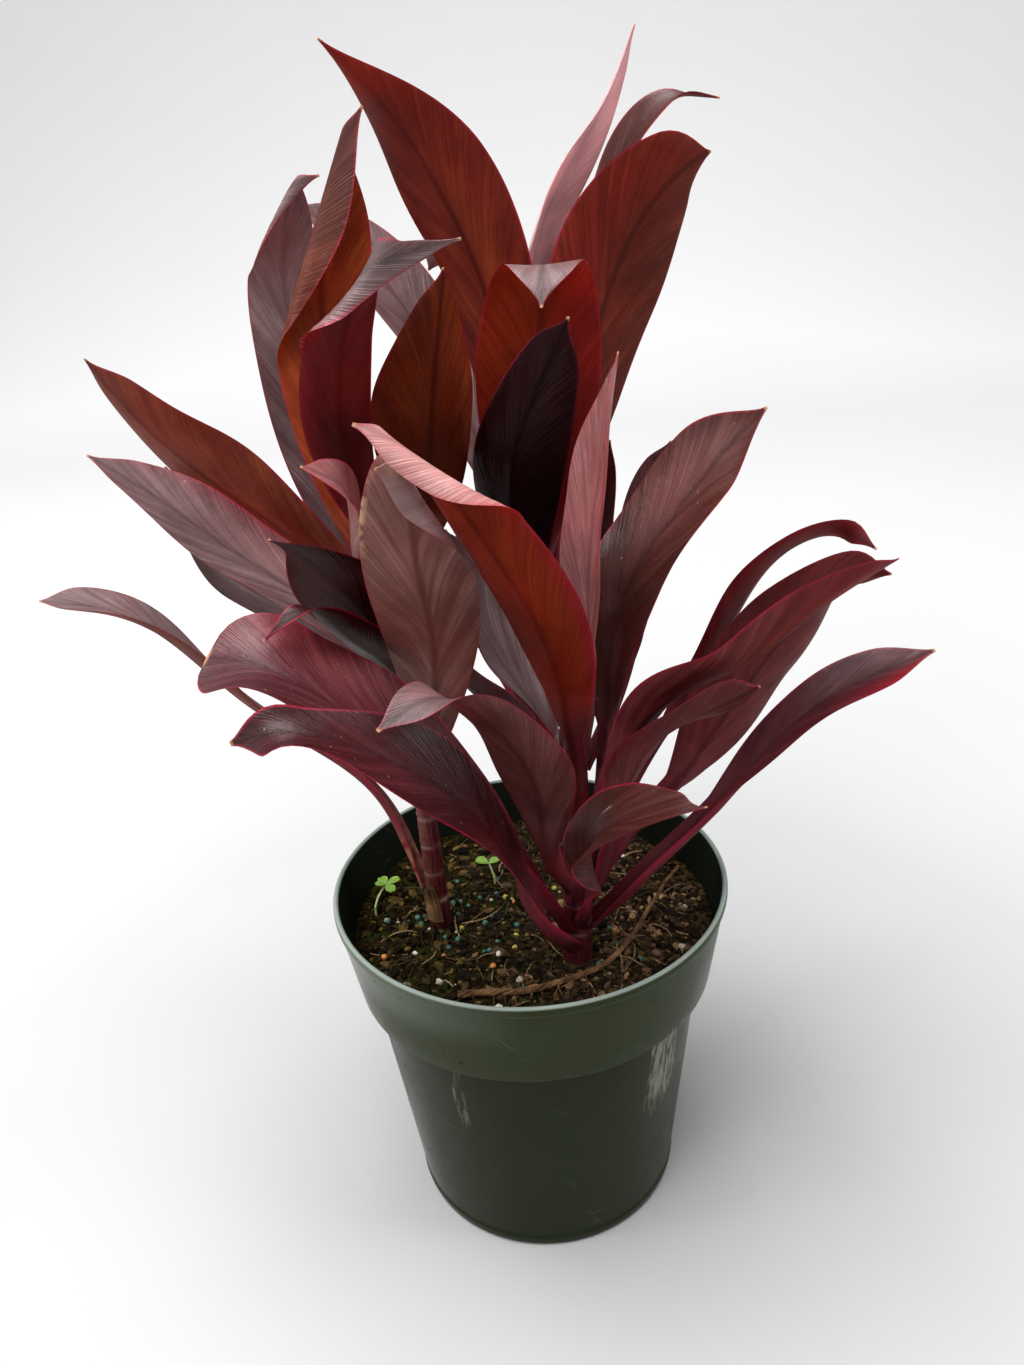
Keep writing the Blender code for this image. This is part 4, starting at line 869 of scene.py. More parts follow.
def build_flakes():
    """Bark flakes of three sizes on the mix."""
    rng = np.random.RandomState(FLAKE_SEED)
    big = big_chip_places()
    medium = spread(rng, MEDIUM_CHIPS, 70.0)
    crumbs = spread(rng, CRUMBS, 71.0)
    long = rng.uniform(1.6, 3.6, MEDIUM_CHIPS)
    grain = rng.uniform(0.6, 1.5, CRUMBS)
    medium_half = stacked(long, long * rng.uniform(0.35, 0.75, MEDIUM_CHIPS),
                          long * rng.uniform(0.2, 0.4, MEDIUM_CHIPS))
    medium_turns = rng.uniform(0, math.pi, MEDIUM_CHIPS), rng.uniform(-0.6, 0.6, MEDIUM_CHIPS)
    crumb_half = stacked(grain, grain * rng.uniform(0.5, 0.9, CRUMBS), grain * rng.uniform(0.35, 0.7, CRUMBS))
    crumb_turns = rng.uniform(0, math.pi, CRUMBS), rng.uniform(-0.8, 0.8, CRUMBS)
    for name, ground, place, half, (spin, tilt), lift in (
            ("bark_chips", soil_height, big[:, :2], big[:, 2:5], (big[:, 5], big[:, 6]), 0.3),
            ("bark_bits", crumbly_height, medium, medium_half, medium_turns, 0.5),
            ("bark_crumbs", crumbly_height, crumbs, crumb_half, crumb_turns, 0.35)):
        stand = np.column_stack([place, ground(*place.T) + lift])
        scatter(rng, name, len(place), *flakes(rng, stand, half, spin, tilt), bark(), sharp=25)


def add_grains(rng, name, place, radius, lift, rough):
    """Round grains on the mix: spheres of rings whose radius varies at random by the share rough, each
    lifted by a share of its radius."""
    count = len(place)
    angle = steps_round(GRAIN_SIDES)
    polar = (math.pi * (np.arange(GRAIN_RINGS) + 1) / (GRAIN_RINGS + 1))[:, None]
    shape = stacked(np.sin(polar) * np.cos(angle), np.sin(polar) * np.sin(angle), np.cos(polar))
    shape = np.concatenate([shape.reshape(-1, 3), [(0, 0, 1), (0, 0, -1)]])
    size = radius[:, None] * (1 + rough * rng.uniform(-1, 1, (count, len(shape))))
    middle = np.column_stack([place, crumbly_height(*place.T) + lift * radius])
    points = shape[None] * size[..., None] * (1, 1, 0.9) + middle[:, None]
    quads, fans = (copies(faces, len(shape), count) for faces in ring_faces(GRAIN_RINGS, GRAIN_SIDES))
    scatter(rng, name, count, points.reshape(-1, 3), quads + fans, grain_finish(name))


def build_grains():
    """Slow-release fertiliser prills, most of them between the canes, and white perlite."""
    rng = np.random.RandomState(GRAIN_SEED)
    for name, count in PRILLS.items():
        place = np.clip(rng.normal((-14, -8), (26, 24), (count, 2)), -60, 60)
        for cane in CANES.values():
            away = place - cane["foot"][:2]
            near = np.linalg.norm(away, axis=1)[:, None]
            place = np.where(near < cane["radii"][0] + 2, place + away / near * (cane["radii"][0] + 3), place)
        add_grains(rng, name, place, rng.uniform(0.95, 1.35, count), 0.45, 0.03)
    place = spread(rng, PERLITE, 66.0)
    add_grains(rng, "perlite", place, rng.uniform(0.6, 1.7, PERLITE), 0.3, 0.22)


def tubes(paths, radii, sides):
    """Round tubes along many paths at once: paths is (count, rows, 3) and radii (count, rows). Each ring
    stands square to the path, measured from straight up, and each end is closed by one face."""
    count, rows = paths.shape[:2]
    ahead = unit(np.gradient(paths, axis=1))
    first = unit(np.cross(np.where(np.abs(ahead[..., 2:]) > 0.95, (1.0, 0, 0), (0, 0, 1.0)), ahead))
    second = np.cross(ahead, first)
    angle = steps_round(sides)[:, None]
    ring = np.cos(angle) * first[:, :, None] + np.sin(angle) * second[:, :, None]
    points = paths[:, :, None] + radii[..., None, None] * ring
    index = np.arange(rows * sides).reshape(rows, sides)
    faces = copies(grid_faces(index, wrap=True), index.size, count)
    start = index.size * np.arange(count)
    faces += [index[0, ::-1] + s for s in start] + [index[-1] + s for s in start]
    return points.reshape(-1, 3), faces


def build_fibres():
    """Tan and brown plant fibres that lie on the mix, each a short bent tube."""
    rng = np.random.RandomState(FIBRE_SEED)
    place = spread(rng, FIBRES, 64.0)
    length = rng.uniform(4, 20, FIBRES)[:, None]
    bearing = rng.uniform(0, 2 * math.pi, FIBRES)[:, None]
    t = np.linspace(-1, 1, 9)
    way = bearing + rng.uniform(-0.35, 0.35, FIBRES)[:, None] * t
    x = place[:, :1] + length * t / 2 * np.cos(way)
    y = place[:, 1:] + length * t / 2 * np.sin(way)
    inward = np.minimum(1, FIBRE_REACH / np.maximum(np.hypot(x, y), 1))
    x, y = x * inward, y * inward
    lift = 0.5 + rng.uniform(0, 0.9, (FIBRES, 1)) * (1 - t**2)
    z = np.maximum(crumbly_height(x, y), soil_height(x, y)) + lift
    thick = rng.uniform(0.15, 0.38, (FIBRES, 1)) * (1 - 0.5 * t**4)
    scatter(rng, "mix_fibres", FIBRES, *tubes(stacked(x, y, z), thick, 6), fibre())


def build_cane(name):
    """Cane: a tube up the axis whose radius dips at each old leaf scar, swells just over it, and runs out
    to the furled tip's point. Its skin is fluted by a sine of nine waves that winds slowly upwards."""
    cane = CANES[name]
    foot, head = np.array(cane["foot"], float), np.array(cane["head"], float)
    buried = np.linspace(foot[2] - CANE_DEPTH, foot[2] - 1, 8)
    height = np.concatenate([buried, np.arange(foot[2], head[2], CANE_ROW)])
    path, radius = cane_axis(name, np.maximum(height, foot[2]))
    path[:, 2] = height
    past = (height - foot[2] + SCAR_STEP / 2) % SCAR_STEP - SCAR_STEP / 2
    half_way = (past + SCAR_STEP) % SCAR_STEP - SCAR_STEP / 2
    scarred = height > foot[2] + SCAR_STEP / 2
    relief = 0.25 * hump(past - 1.3, 0.7) - 0.3 * hump(past, 0.7) - 0.14 * hump(half_way, 0.5)
    radius = radius + scarred * relief
    t = np.linspace(0, 1, 16)
    path = np.concatenate([path, head + unit(head - foot) * cane["tip"] * t[:, None]])
    radius = np.concatenate([radius, cane["radii"][1] * np.interp(t, *TIP_THINNING)])
    points, faces = tubes(path[None], radius[None], CANE_SIDES)
    pale = np.where((name == "left") & (height < foot[2] + 1.5 * SCAR_STEP), 1.0, 0.25)
    scar = np.concatenate([scarred * pale * hump(past, 1.0), 0 * t])
    angle = np.tile(steps_round(CANE_SIDES), len(path))
    axis = np.repeat(path, CANE_SIDES, axis=0)
    points = axis + (points - axis) * (1 + 0.012 * np.sin(9 * angle + 0.3 * points[:, 2]))[:, None]
    return make_piece(f"{name}_cane_skin", points, faces, [cane_skin()], "cane", [f"{name}_cane"], sharp=180,
                      fields={"scar": np.repeat(scar, CANE_SIDES)})


def build_sheath():
    """Papery dry sheath: half a tube that stands off the cane by a cube law at its top, with lengthwise
    wrinkles and a torn upper edge."""
    u = np.linspace(1, -1, 33)
    t = np.linspace(0, 1, 41)[:, None]
    torn = 1 - 0.16 * np.abs(value_noise(9 * u, 0 * u, 1.6, 8))
    torn = torn - 0.1 * np.abs(value_noise(9 * u, 0 * u, 0.5, 9))
    low_end, high_end = SHEATH_SPAN
    axis, radius = cane_axis("left", low_end + (high_end - low_end) * t * torn)
    reach = radius + SHEATH_GAP + 0.35 + 2.2 * t**3 + 0.22 * np.sin(14 * u + 2 * t) * (0.3 + t)
    bearing = math.radians(SHEATH_BEARING) + np.radians(42 - 20 * t**2) * u
    sheet = axis + stacked(reach * np.cos(bearing), reach * np.sin(bearing), 0)
    return make_piece("papery_sheath", *thin_shell(sheet, 0.15), [dry_fibre()], "dry_sheath", ["dry_sheath"])


def build_root():
    """Dry root: strands twisted round the part's root path, and fine hairs that bend down to the mix."""
    rng = np.random.RandomState(ROOT_SEED)
    share = np.linspace(0, 1, ROOT_ROWS)
    centre = spline(ROOT_PATH, share)
    around = [(dx, dy) for dx in (-2, 0, 2) for dy in (-2, 0, 2)]
    lie = np.max([soil_height(centre[:, 0] + dx, centre[:, 1] + dy) for dx, dy in around], axis=0)
    thick = ROOT_RADIUS * (1 - 0.45 * share)
    centre[:, 2] = lie + thick + 0.5
    ahead = unit(np.gradient(centre, axis=0))
    side = unit(np.cross(ahead, (0, 0, 1.0)))
    up = np.cross(side, ahead)
    paths, radii = [], []
    for k in range(ROOT_STRANDS):
        angle = (2 * math.pi * (k / ROOT_STRANDS + ROOT_TURNS * share) + 0.4 * np.sin(9 * share + k))[:, None]
        off = (thick * rng.uniform(0.50, 0.62))[:, None]
        paths.append(centre + off * (np.cos(angle) * side + np.sin(angle) * up))
        radii.append(thick * rng.uniform(0.38, 0.5) * (1 + 0.10 * np.sin(31 * share + 2 * k)))
    points, faces = tubes(np.array(paths), np.array(radii), 8)
    t = np.linspace(0, 1, 14)
    hairs, hair_radii = [], []
    for _ in range(ROOT_HAIRS):
        at = rng.randint(4, ROOT_ROWS - 4)
        way = side[at] * rng.choice([-1, 1]) + ahead[at] * rng.uniform(-1, 1)
        way[2] = 0
        long = rng.uniform(3, 13)
        path = centre[at] + way * long * t[:, None] + side[at] * rng.uniform(-2, 2) * np.sin(2.5 * t)[:, None]
        path[:, 2] = np.maximum(crumbly_height(path[:, 0], path[:, 1]) + 0.4, centre[at, 2] - 3 * t)
        hairs.append(path)
        hair_radii.append(rng.uniform(0.12, 0.3) * (1 - 0.7 * t))
    more, more_faces = tubes(np.array(hairs), np.array(hair_radii), 5)
    faces += [face + len(points) for face in more_faces]
    return make_piece("root_strands", np.concatenate([points, more]), faces, [dry_fibre()], "dry_root",
                      ["dry_root"])


def leaflet(foot, bearing, rise, length, width):
    """Sheet of a seedling's leaflet: a notched blade that droops as its length squared and folds up along
    its middle."""
    s = np.linspace(0, 1, 15)[:, None]
    u = np.linspace(-1, 1, 11)[None]
    half = width / 2 * (0.08 + 0.92 * np.sin(np.clip(s * 1.25, 0, 1) * math.pi / 2)**1.2) * (1 - 0.45 * s**4)
    along = length * s * (0.84 + 0.16 * np.sqrt(np.clip(1 - (1.6 * np.abs(u) - 0.9)**2, 0, 1)))
    droop = -0.16 * along**2 / length + 0.16 * np.abs(u) * half + 0.05 * np.sin(7 * s) * u
    rise, bearing = math.radians(rise), math.radians(bearing)
    flat = along * math.cos(rise) - droop * math.sin(rise)
    lift = along * math.sin(rise) + droop * math.cos(rise) - 0.3
    across = half * u
    return foot + stacked(flat * math.cos(bearing) - across * math.sin(bearing),
                          flat * math.sin(bearing) + across * math.cos(bearing), lift)


def build_seedling(name):
    """Seedling: the part's stem as a smooth tube that stands straight in the mix, and its leaflets."""
    (x, y), bend, leaflets = SEEDLINGS[name]
    path = [(x, y, SOIL_LEVEL - SEEDLING_DEPTH), (x, y, SOIL_LEVEL + 2)]
    path += [(x + dx, y + dy, SOIL_LEVEL + dz) for dx, dy, dz in bend]
    share = np.linspace(0, 1, 30)
    fine = spline(path, share)
    fine[:, :2] = np.where(fine[:, 2:] < SOIL_LEVEL + 2, (x, y), fine[:, :2])
    points, faces = tubes(fine[None], (SEEDLING_STEM * (0.9 - 0.35 * share))[None], 12)
    slots = [0] * len(faces)
    for row in leaflets:
        more, more_faces = thin_shell(leaflet(fine[-1], *row), 0.13)
        faces += [face + len(points) for face in more_faces]
        points = np.concatenate([points, more])
    slots += [1] * (len(faces) - len(slots))
    return make_piece(f"{name}_sprig", points, faces, [seedling_stem(), seedling_leaf()], "seedling", [name],
                      slots=slots)


# Leaf colours: ground, colour of the streaks along the veins, colour of the light that comes through,
# roughness. Tints marked below hold painted sheen or painted shade in their ground and streak colours.
UPPER_TINTS = {
    "plum": ((0.034, 0.006, 0.008), (0.075, 0.018, 0.022), (0.25, 0.02, 0.03), 0.32),
    "wine": ((0.060, 0.013, 0.018), (0.105, 0.032, 0.038), (0.32, 0.03, 0.05), 0.36),
    "umber": ((0.060, 0.016, 0.012), (0.105, 0.036, 0.030), (0.35, 0.05, 0.05), 0.34),
    # painted sheen: grey laid into the ground and streak colours
    "sheen_mauve": ((0.110, 0.036, 0.033), (0.190, 0.080, 0.075), (0.40, 0.08, 0.08), 0.34),
    # painted sheen: grey laid into the ground and streak colours
    "sheen_slate": ((0.130, 0.078, 0.080), (0.240, 0.160, 0.165), (0.40, 0.12, 0.12), 0.34),
    "rose": ((0.230, 0.085, 0.085), (0.390, 0.195, 0.195), (0.60, 0.15, 0.15), 0.38),
    "blush": ((0.510, 0.230, 0.220), (0.680, 0.380, 0.370), (0.80, 0.30, 0.29), 0.42),
    # painted sheen: pale grey-pink ground and streaks
    "sheen_ash": ((0.440, 0.290, 0.300), (0.560, 0.410, 0.420), (0.75, 0.45, 0.46), 0.38),
    # painted shadow: near-black plum
    "shadow_plum": ((0.012, 0.002, 0.003), (0.022, 0.005, 0.007), (0.04, 0.01, 0.01), 0.34),
}
UNDER_TINTS = {
    "ember": ((0.110, 0.011, 0.009), (0.210, 0.032, 0.012), (0.42, 0.05, 0.02), 0.44),
    "scarlet": ((0.150, 0.009, 0.004), (0.300, 0.024, 0.005), (0.45, 0.03, 0.01), 0.44),
    "rust": ((0.100, 0.011, 0.005), (0.175, 0.025, 0.009), (0.30, 0.03, 0.01), 0.44),
    "copper": ((0.140, 0.028, 0.018), (0.235, 0.052, 0.021), (0.48, 0.08, 0.03), 0.44),
    "flame": ((0.230, 0.034, 0.010), (0.430, 0.090, 0.014), (0.80, 0.14, 0.02), 0.44),
    "olive": ((0.085, 0.012, 0.004), (0.190, 0.034, 0.006), (0.35, 0.06, 0.01), 0.44),
    "taupe": ((0.185, 0.086, 0.075), (0.350, 0.190, 0.165), (0.35, 0.10, 0.07), 0.36),
    "maroon": ((0.065, 0.008, 0.009), (0.120, 0.020, 0.018), (0.25, 0.02, 0.02), 0.42),
    "crimson": ((0.100, 0.014, 0.017), (0.170, 0.034, 0.034), (0.40, 0.03, 0.04), 0.42),
    # painted shade: near-black maroon
    "shaded_maroon": ((0.026, 0.002, 0.0025), (0.048, 0.006, 0.006), (0.12, 0.008, 0.008), 0.38),
    "mauve_under": ((0.150, 0.058, 0.052), (0.240, 0.105, 0.098), (0.40, 0.08, 0.08), 0.38),
    # painted sheen: grey laid into the ground and streak colours
    "sheen_slate_under": ((0.160, 0.100, 0.102), (0.260, 0.175, 0.180), (0.40, 0.12, 0.12), 0.38),
    # painted sheen: pale pink ground and streaks
    "sheen_petal": ((0.440, 0.210, 0.205), (0.560, 0.320, 0.315), (0.60, 0.20, 0.20), 0.40),
    # painted sheen: pale grey-pink ground and streaks
    "sheen_pearl": ((0.600, 0.420, 0.430), (0.740, 0.570, 0.580), (0.85, 0.55, 0.57), 0.40),
    # painted shadow: near-black plum
    "shadow_plum": ((0.014, 0.002, 0.003), (0.026, 0.005, 0.006), (0.04, 0.01, 0.01), 0.34),
}
# colour of each kind of flush, stain and painted light (glow, sheen, shade), in the order of the kinds
STAIN_AND_LIGHT_TINTS = ((0.340, 0.055, 0.012), (0.260, 0.006, 0.016), (0.520, 0.180, 0.180),
               (0.016, 0.002, 0.002), (0.230, 0.170, 0.170), (0.700, 0.480, 0.270))
MARGIN_COLOUR = (0.34, 0.010, 0.040)
STALK_COLOUR = (0.095, 0.030, 0.034)
STALK_FLUSH = (0.130, 0.014, 0.027)
DRY_TIP_COLOUR = (0.42, 0.22, 0.11)
SPECK_COLOUR = (0.46, 0.36, 0.36)


class Value:
    """An output of a shader node. Arithmetic on values adds the math nodes that work it out."""

    def __init__(self, tree, socket):
        self.tree = tree
        self.socket = socket

    def __add__(self, other):
        return calc("ADD", self, other)

    def __sub__(self, other):
        return calc("SUBTRACT", self, other)

    def __rsub__(self, other):
        return calc("SUBTRACT", other, self)

    def __mul__(self, other):
        return calc("MULTIPLY", self, other)

    def __truediv__(self, other):
        return calc("DIVIDE", self, other)

    def __abs__(self):
        return calc("ABSOLUTE", self)


def tree_of(*terms):
    """Node tree of the first value among numbers, colours and values."""
    return next(term.tree for term in terms if isinstance(term, Value))


def give(tree, node, values):
    """Gives a node's inputs a number, a colour or a link to a value."""
    for key, value in values.items():
        if isinstance(value, Value):
            tree.links.new(value.socket, node.inputs[key])
        elif isinstance(value, tuple) and node.inputs[key].type == "RGBA":
            node.inputs[key].default_value = (*value, 1.0)
        else:
            node.inputs[key].default_value = value


def put(tree, kind, values=None, **settings):
    """Adds a node, sets its fields, and gives its inputs their values."""
    made = tree.nodes.new(kind)
    for setting, value in settings.items():
        setattr(made, setting, value)
    give(tree, made, values or {})
    return made


def worked(tree, kind, values=None, output=0, **settings):
    """Adds a node and returns one of its outputs as a value."""
    return Value(tree, put(tree, kind, values, **settings).outputs[output])


def calc(operation, *terms, clamp=False):
    """Math node on its terms."""
    return worked(tree_of(*terms), "ShaderNodeMath", dict(enumerate(terms)), operation=operation,
                  use_clamp=clamp)


def mixed(share, a, b, way="MIX"):
    """Colour b laid over colour a by its share."""
    values = {0: share, 6: a, 7: b}
    return worked(tree_of(share, a, b), "ShaderNodeMix", values, 2, data_type="RGBA", blend_type=way)


def layered(colour, layers):
    """Colour with further ones laid over it, each by its own share."""
    for share, tint in layers:
        colour = mixed(share, colour, tint)
    return colour


def remap(value, low, high, first=0.0, last=1.0):
    """Runs from first to last as the value runs from low to high, and stays there beyond them."""
    return worked(value.tree, "ShaderNodeMapRange", {0: value, 1: low, 2: high, 3: first, 4: last})


def noise(place, scale, detail=2.0, rough=0.5):
    """Soft random field over a place, from 0 to 1 about its middle."""
    values = {"Vector": place, "Scale": scale, "Detail": detail, "Roughness": rough}
    return worked(place.tree, "ShaderNodeTexNoise", values)


def vector(x, y, z):
    """Vector from three numbers or values."""
    return worked(tree_of(x, y, z), "ShaderNodeCombineXYZ", {0: x, 1: y, 2: z})


def parts(value):
    """The three parts of a vector or a colour."""
    return [Value(value.tree, part) for part in put(value.tree, "ShaderNodeSeparateXYZ", {0: value}).outputs]


def ramp(value, stops):
    """Colour ramp through (position, colour) stops, given in rising order."""
    made = put(value.tree, "ShaderNodeValToRGB", {0: value})
    marks = made.color_ramp.elements
    marks[0].position, marks[1].position = stops[0][0], stops[-1][0]
    for position, _ in stops[1:-1]:
        marks.new(position)
    for mark, (_, colour) in zip(marks, stops):
        mark.color = (*colour, 1.0)
    return Value(value.tree, made.outputs[0])


def grouped(build, outputs, given):
    """Effect kept as a shader node group of vector inputs and float outputs, made once by a function that
    gets the inputs and returns the outputs. Places it in the tree of what it is given, and returns its
    outputs."""
    made = bpy.data.node_groups.get(build.__name__)
    if made is None:
        made = bpy.data.node_groups.new(build.__name__, "ShaderNodeTree")
        for key in given:
            made.interface.new_socket(key, in_out="INPUT", socket_type="NodeSocketVector")
        for key in outputs:
            made.interface.new_socket(key, in_out="OUTPUT", socket_type="NodeSocketFloat")
        inside = made.nodes.new("NodeGroupInput")
        result = build(*[Value(made, inside.outputs[key]) for key in given])
        put(made, "NodeGroupOutput", dict(zip(outputs, result)))
    tree = tree_of(*given.values())
    node = put(tree, "ShaderNodeGroup", given, node_tree=made)
    return [Value(tree, node.outputs[key]) for key in outputs]


def object_place(tree):
    """Place of each point in metres from the piece's origin."""
    return worked(tree, "ShaderNodeTexCoord", output="Object")


def field(tree, name, output="Vector"):
    """Value that the mesh carries for each of its points."""
    return worked(tree, "ShaderNodeAttribute", output=output, attribute_name=name)


def new_material(name):
    """Material with only its output and its Principled shader, joined. Returns it, its tree and the
    place."""
    made = bpy.data.materials.new(name)
    made.use_nodes = True
    return made, made.node_tree, object_place(made.node_tree)


def dress(made, colour, rough, relief, depth, specular=0.5):
    """Gives a material's Principled shader its colour, its roughness, its specular level, and a relief
    whose depth is in millimetres. Returns the material."""
    tree = made.node_tree
    normal = worked(tree, "ShaderNodeBump", {"Height": relief, "Distance": depth * MM, "Strength": 1.0})
    give(tree, tree.nodes["Principled BSDF"],
         {"Base Color": colour, "Roughness": rough, "Specular IOR Level": specular, "Normal": normal})
    return made


def let_light_through(made, tint, share):
    """Mixes a Translucent shader of this tint into a material by its share. Returns the material."""
    tree = made.node_tree
    skin = Value(tree, tree.nodes["Principled BSDF"].outputs[0])
    glow = worked(tree, "ShaderNodeBsdfTranslucent", {"Color": tint})
    both = worked(tree, "ShaderNodeMixShader", {0: share, 1: skin, 2: glow})
    give(tree, tree.nodes["Material Output"], {"Surface": both})
    return made


def leaf_lines(span, place, where):
    """Masks that follow a blade. span holds the distance x from the midrib, the distance along it and the
    share of the blade; place holds u and s. Veins leave the midrib nearly along it and bend out to the
    margin, so each one keeps the value along - 12 (sqrt(|x| + 1) - 1). The side of the midrib shifts the
    noise, so that the two halves differ."""
    across, along, blade = parts(span)
    u, share, _ = parts(place)
    off, u = abs(across), abs(u)
    side = calc("SIGN", across) * 37.0
    line = along - calc("SQRT", off + 1.0) * 12.0
    veins = remap(noise(vector(line * 0.85, off * 0.03, side), 1.0, 1.0), 0.36, 0.64)
    streaks = remap(noise(vector(line * 0.11, off * 0.05, side), 1.0, 3.0, 0.6), 0.40, 0.66)
    rib = remap(off, 1.7, 0.5)
    gap = off * ((1.0 - u) / calc("MAXIMUM", u, 0.001))
    margin = remap(gap, 0.9, 0.35) * remap(u, 0.3, 0.6)
    tip = remap(share, 0.993, 0.998)
    stalk = remap(blade, 0.0, 0.16, 1.0, 0.0)
    mottle = noise(where, 55.0, 4.0, 0.6)
    specks = remap(noise(where, 620.0, 3.0, 0.6), 0.70, 0.76)
    nicks = remap(noise(vector(line * 0.30, off * 0.02, side), 1.0, 2.0), 0.70, 0.76)
    nicks = nicks * remap(noise(where, 130.0), 0.52, 0.64)
    return veins, streaks, rib, margin, tip, stalk, mottle, calc("MAXIMUM", specks, nicks)


@functools.cache
def leaf_finish(side, tint):
    """Leaf skin: ground colour, vein streaks, stains and painted light (an orange glow, pink and grey sheen,
    dark shade), dark midrib, flushed stalk, crimson margin, dry tip and pale specks, over a Translucent
    shader that lets warm light through the blade."""
    upper = side == "upper"
    ground, streak, through, rough = (UPPER_TINTS if upper else UNDER_TINTS)[tint]
    dark = tuple(0.35 * part for part in ground)
    made, tree, where = new_material(f"leaf_{side}_{tint}")
    veins, streaks, rib, margin, tip, stalk, mottle, specks = grouped(
        leaf_lines, ["Veins", "Streaks", "Rib", "Margin", "Tip", "Stalk", "Mottle", "Specks"],
        {"Span": field(tree, "span"), "Place": field(tree, "place"), "Where": where})
    # stain layers: orange glow, pink and grey sheen and dark shade are painted light; crimson and dry are
    # real
    stains_and_light = parts(field(tree, "glow_crimson_sheen")) + parts(field(tree, "shade_sheen_dry"))
    dry = stains_and_light.pop()
    uneven = remap(streaks, 0.0, 1.0, 0.75, 1.1)
    stem = mixed(remap(mottle, 0.4, 0.6), STALK_COLOUR, STALK_FLUSH)
    patchy = remap(noise(where, 30.0), 0.35, 0.65, 0.10, 0.75)
    ragged = remap(noise(where, 260.0, 3.0), 0.38, 0.55)
    layers = [(remap(mottle, 0.35, 0.7, 0.0, 0.50), dark)]
    layers += [(calc("MULTIPLY", mask, uneven, clamp=True), patch)
               for mask, patch in zip(stains_and_light, STAIN_AND_LIGHT_TINTS)]
    layers += [(veins * 0.45, dark), (stalk * 0.9, stem), (rib * (0.45 if upper else 0.75), dark),
               (margin * patchy, MARGIN_COLOUR)]
    if upper:
        layers += [(specks * 0.6, SPECK_COLOUR)]
    layers += [(calc("MULTIPLY", dry, ragged, clamp=True), STAIN_AND_LIGHT_TINTS[-1]), (tip, DRY_TIP_COLOUR)]
    dress(made, layered(mixed(streaks, ground, streak), layers),
          remap(mottle, 0.3, 0.7, rough - 0.06, rough + 0.12), veins * 0.09 + mottle * 0.8, 1.0,
          specular=0.30 if upper else 0.11)
    warm = remap(noise(where, 38.0, 3.0), 0.3, 0.7, 0.55, 1.15)
    grey = worked(tree, "ShaderNodeCombineColor", {0: warm, 1: warm, 2: warm})
    return let_light_through(made, mixed(1.0, through, grey, "MULTIPLY"), 0.42)


def window(value, centre, half):
    """One where the value lies near the centre, falling to nothing at half the width to each side."""
    return remap(abs(value - centre), half, 0.4 * half)


def wear(where):
    """Marks of use: fine scratches of two slants in patches, dull smudges, and grit."""
    x, y, z = parts(where)
    lean = x + y
    first = vector((lean + z) * 900.0, (lean - z) * 30.0, 0.0)
    second = vector((lean - z * 0.3) * 40.0, z * 1100.0, 5.0)
    scratches = calc("MAXIMUM", remap(noise(first, 1.0, 1.0), 0.72, 0.80),
                     remap(noise(second, 1.0, 1.0), 0.74, 0.82))
    patch = remap(noise(where, 34.0, 3.0), 0.48, 0.62)
    smudge = remap(noise(where, 16.0, 4.0, 0.6), 0.40, 0.66)
    grit = remap(noise(where, 420.0), 0.735, 0.76)
    return scratches * patch, smudge, grit


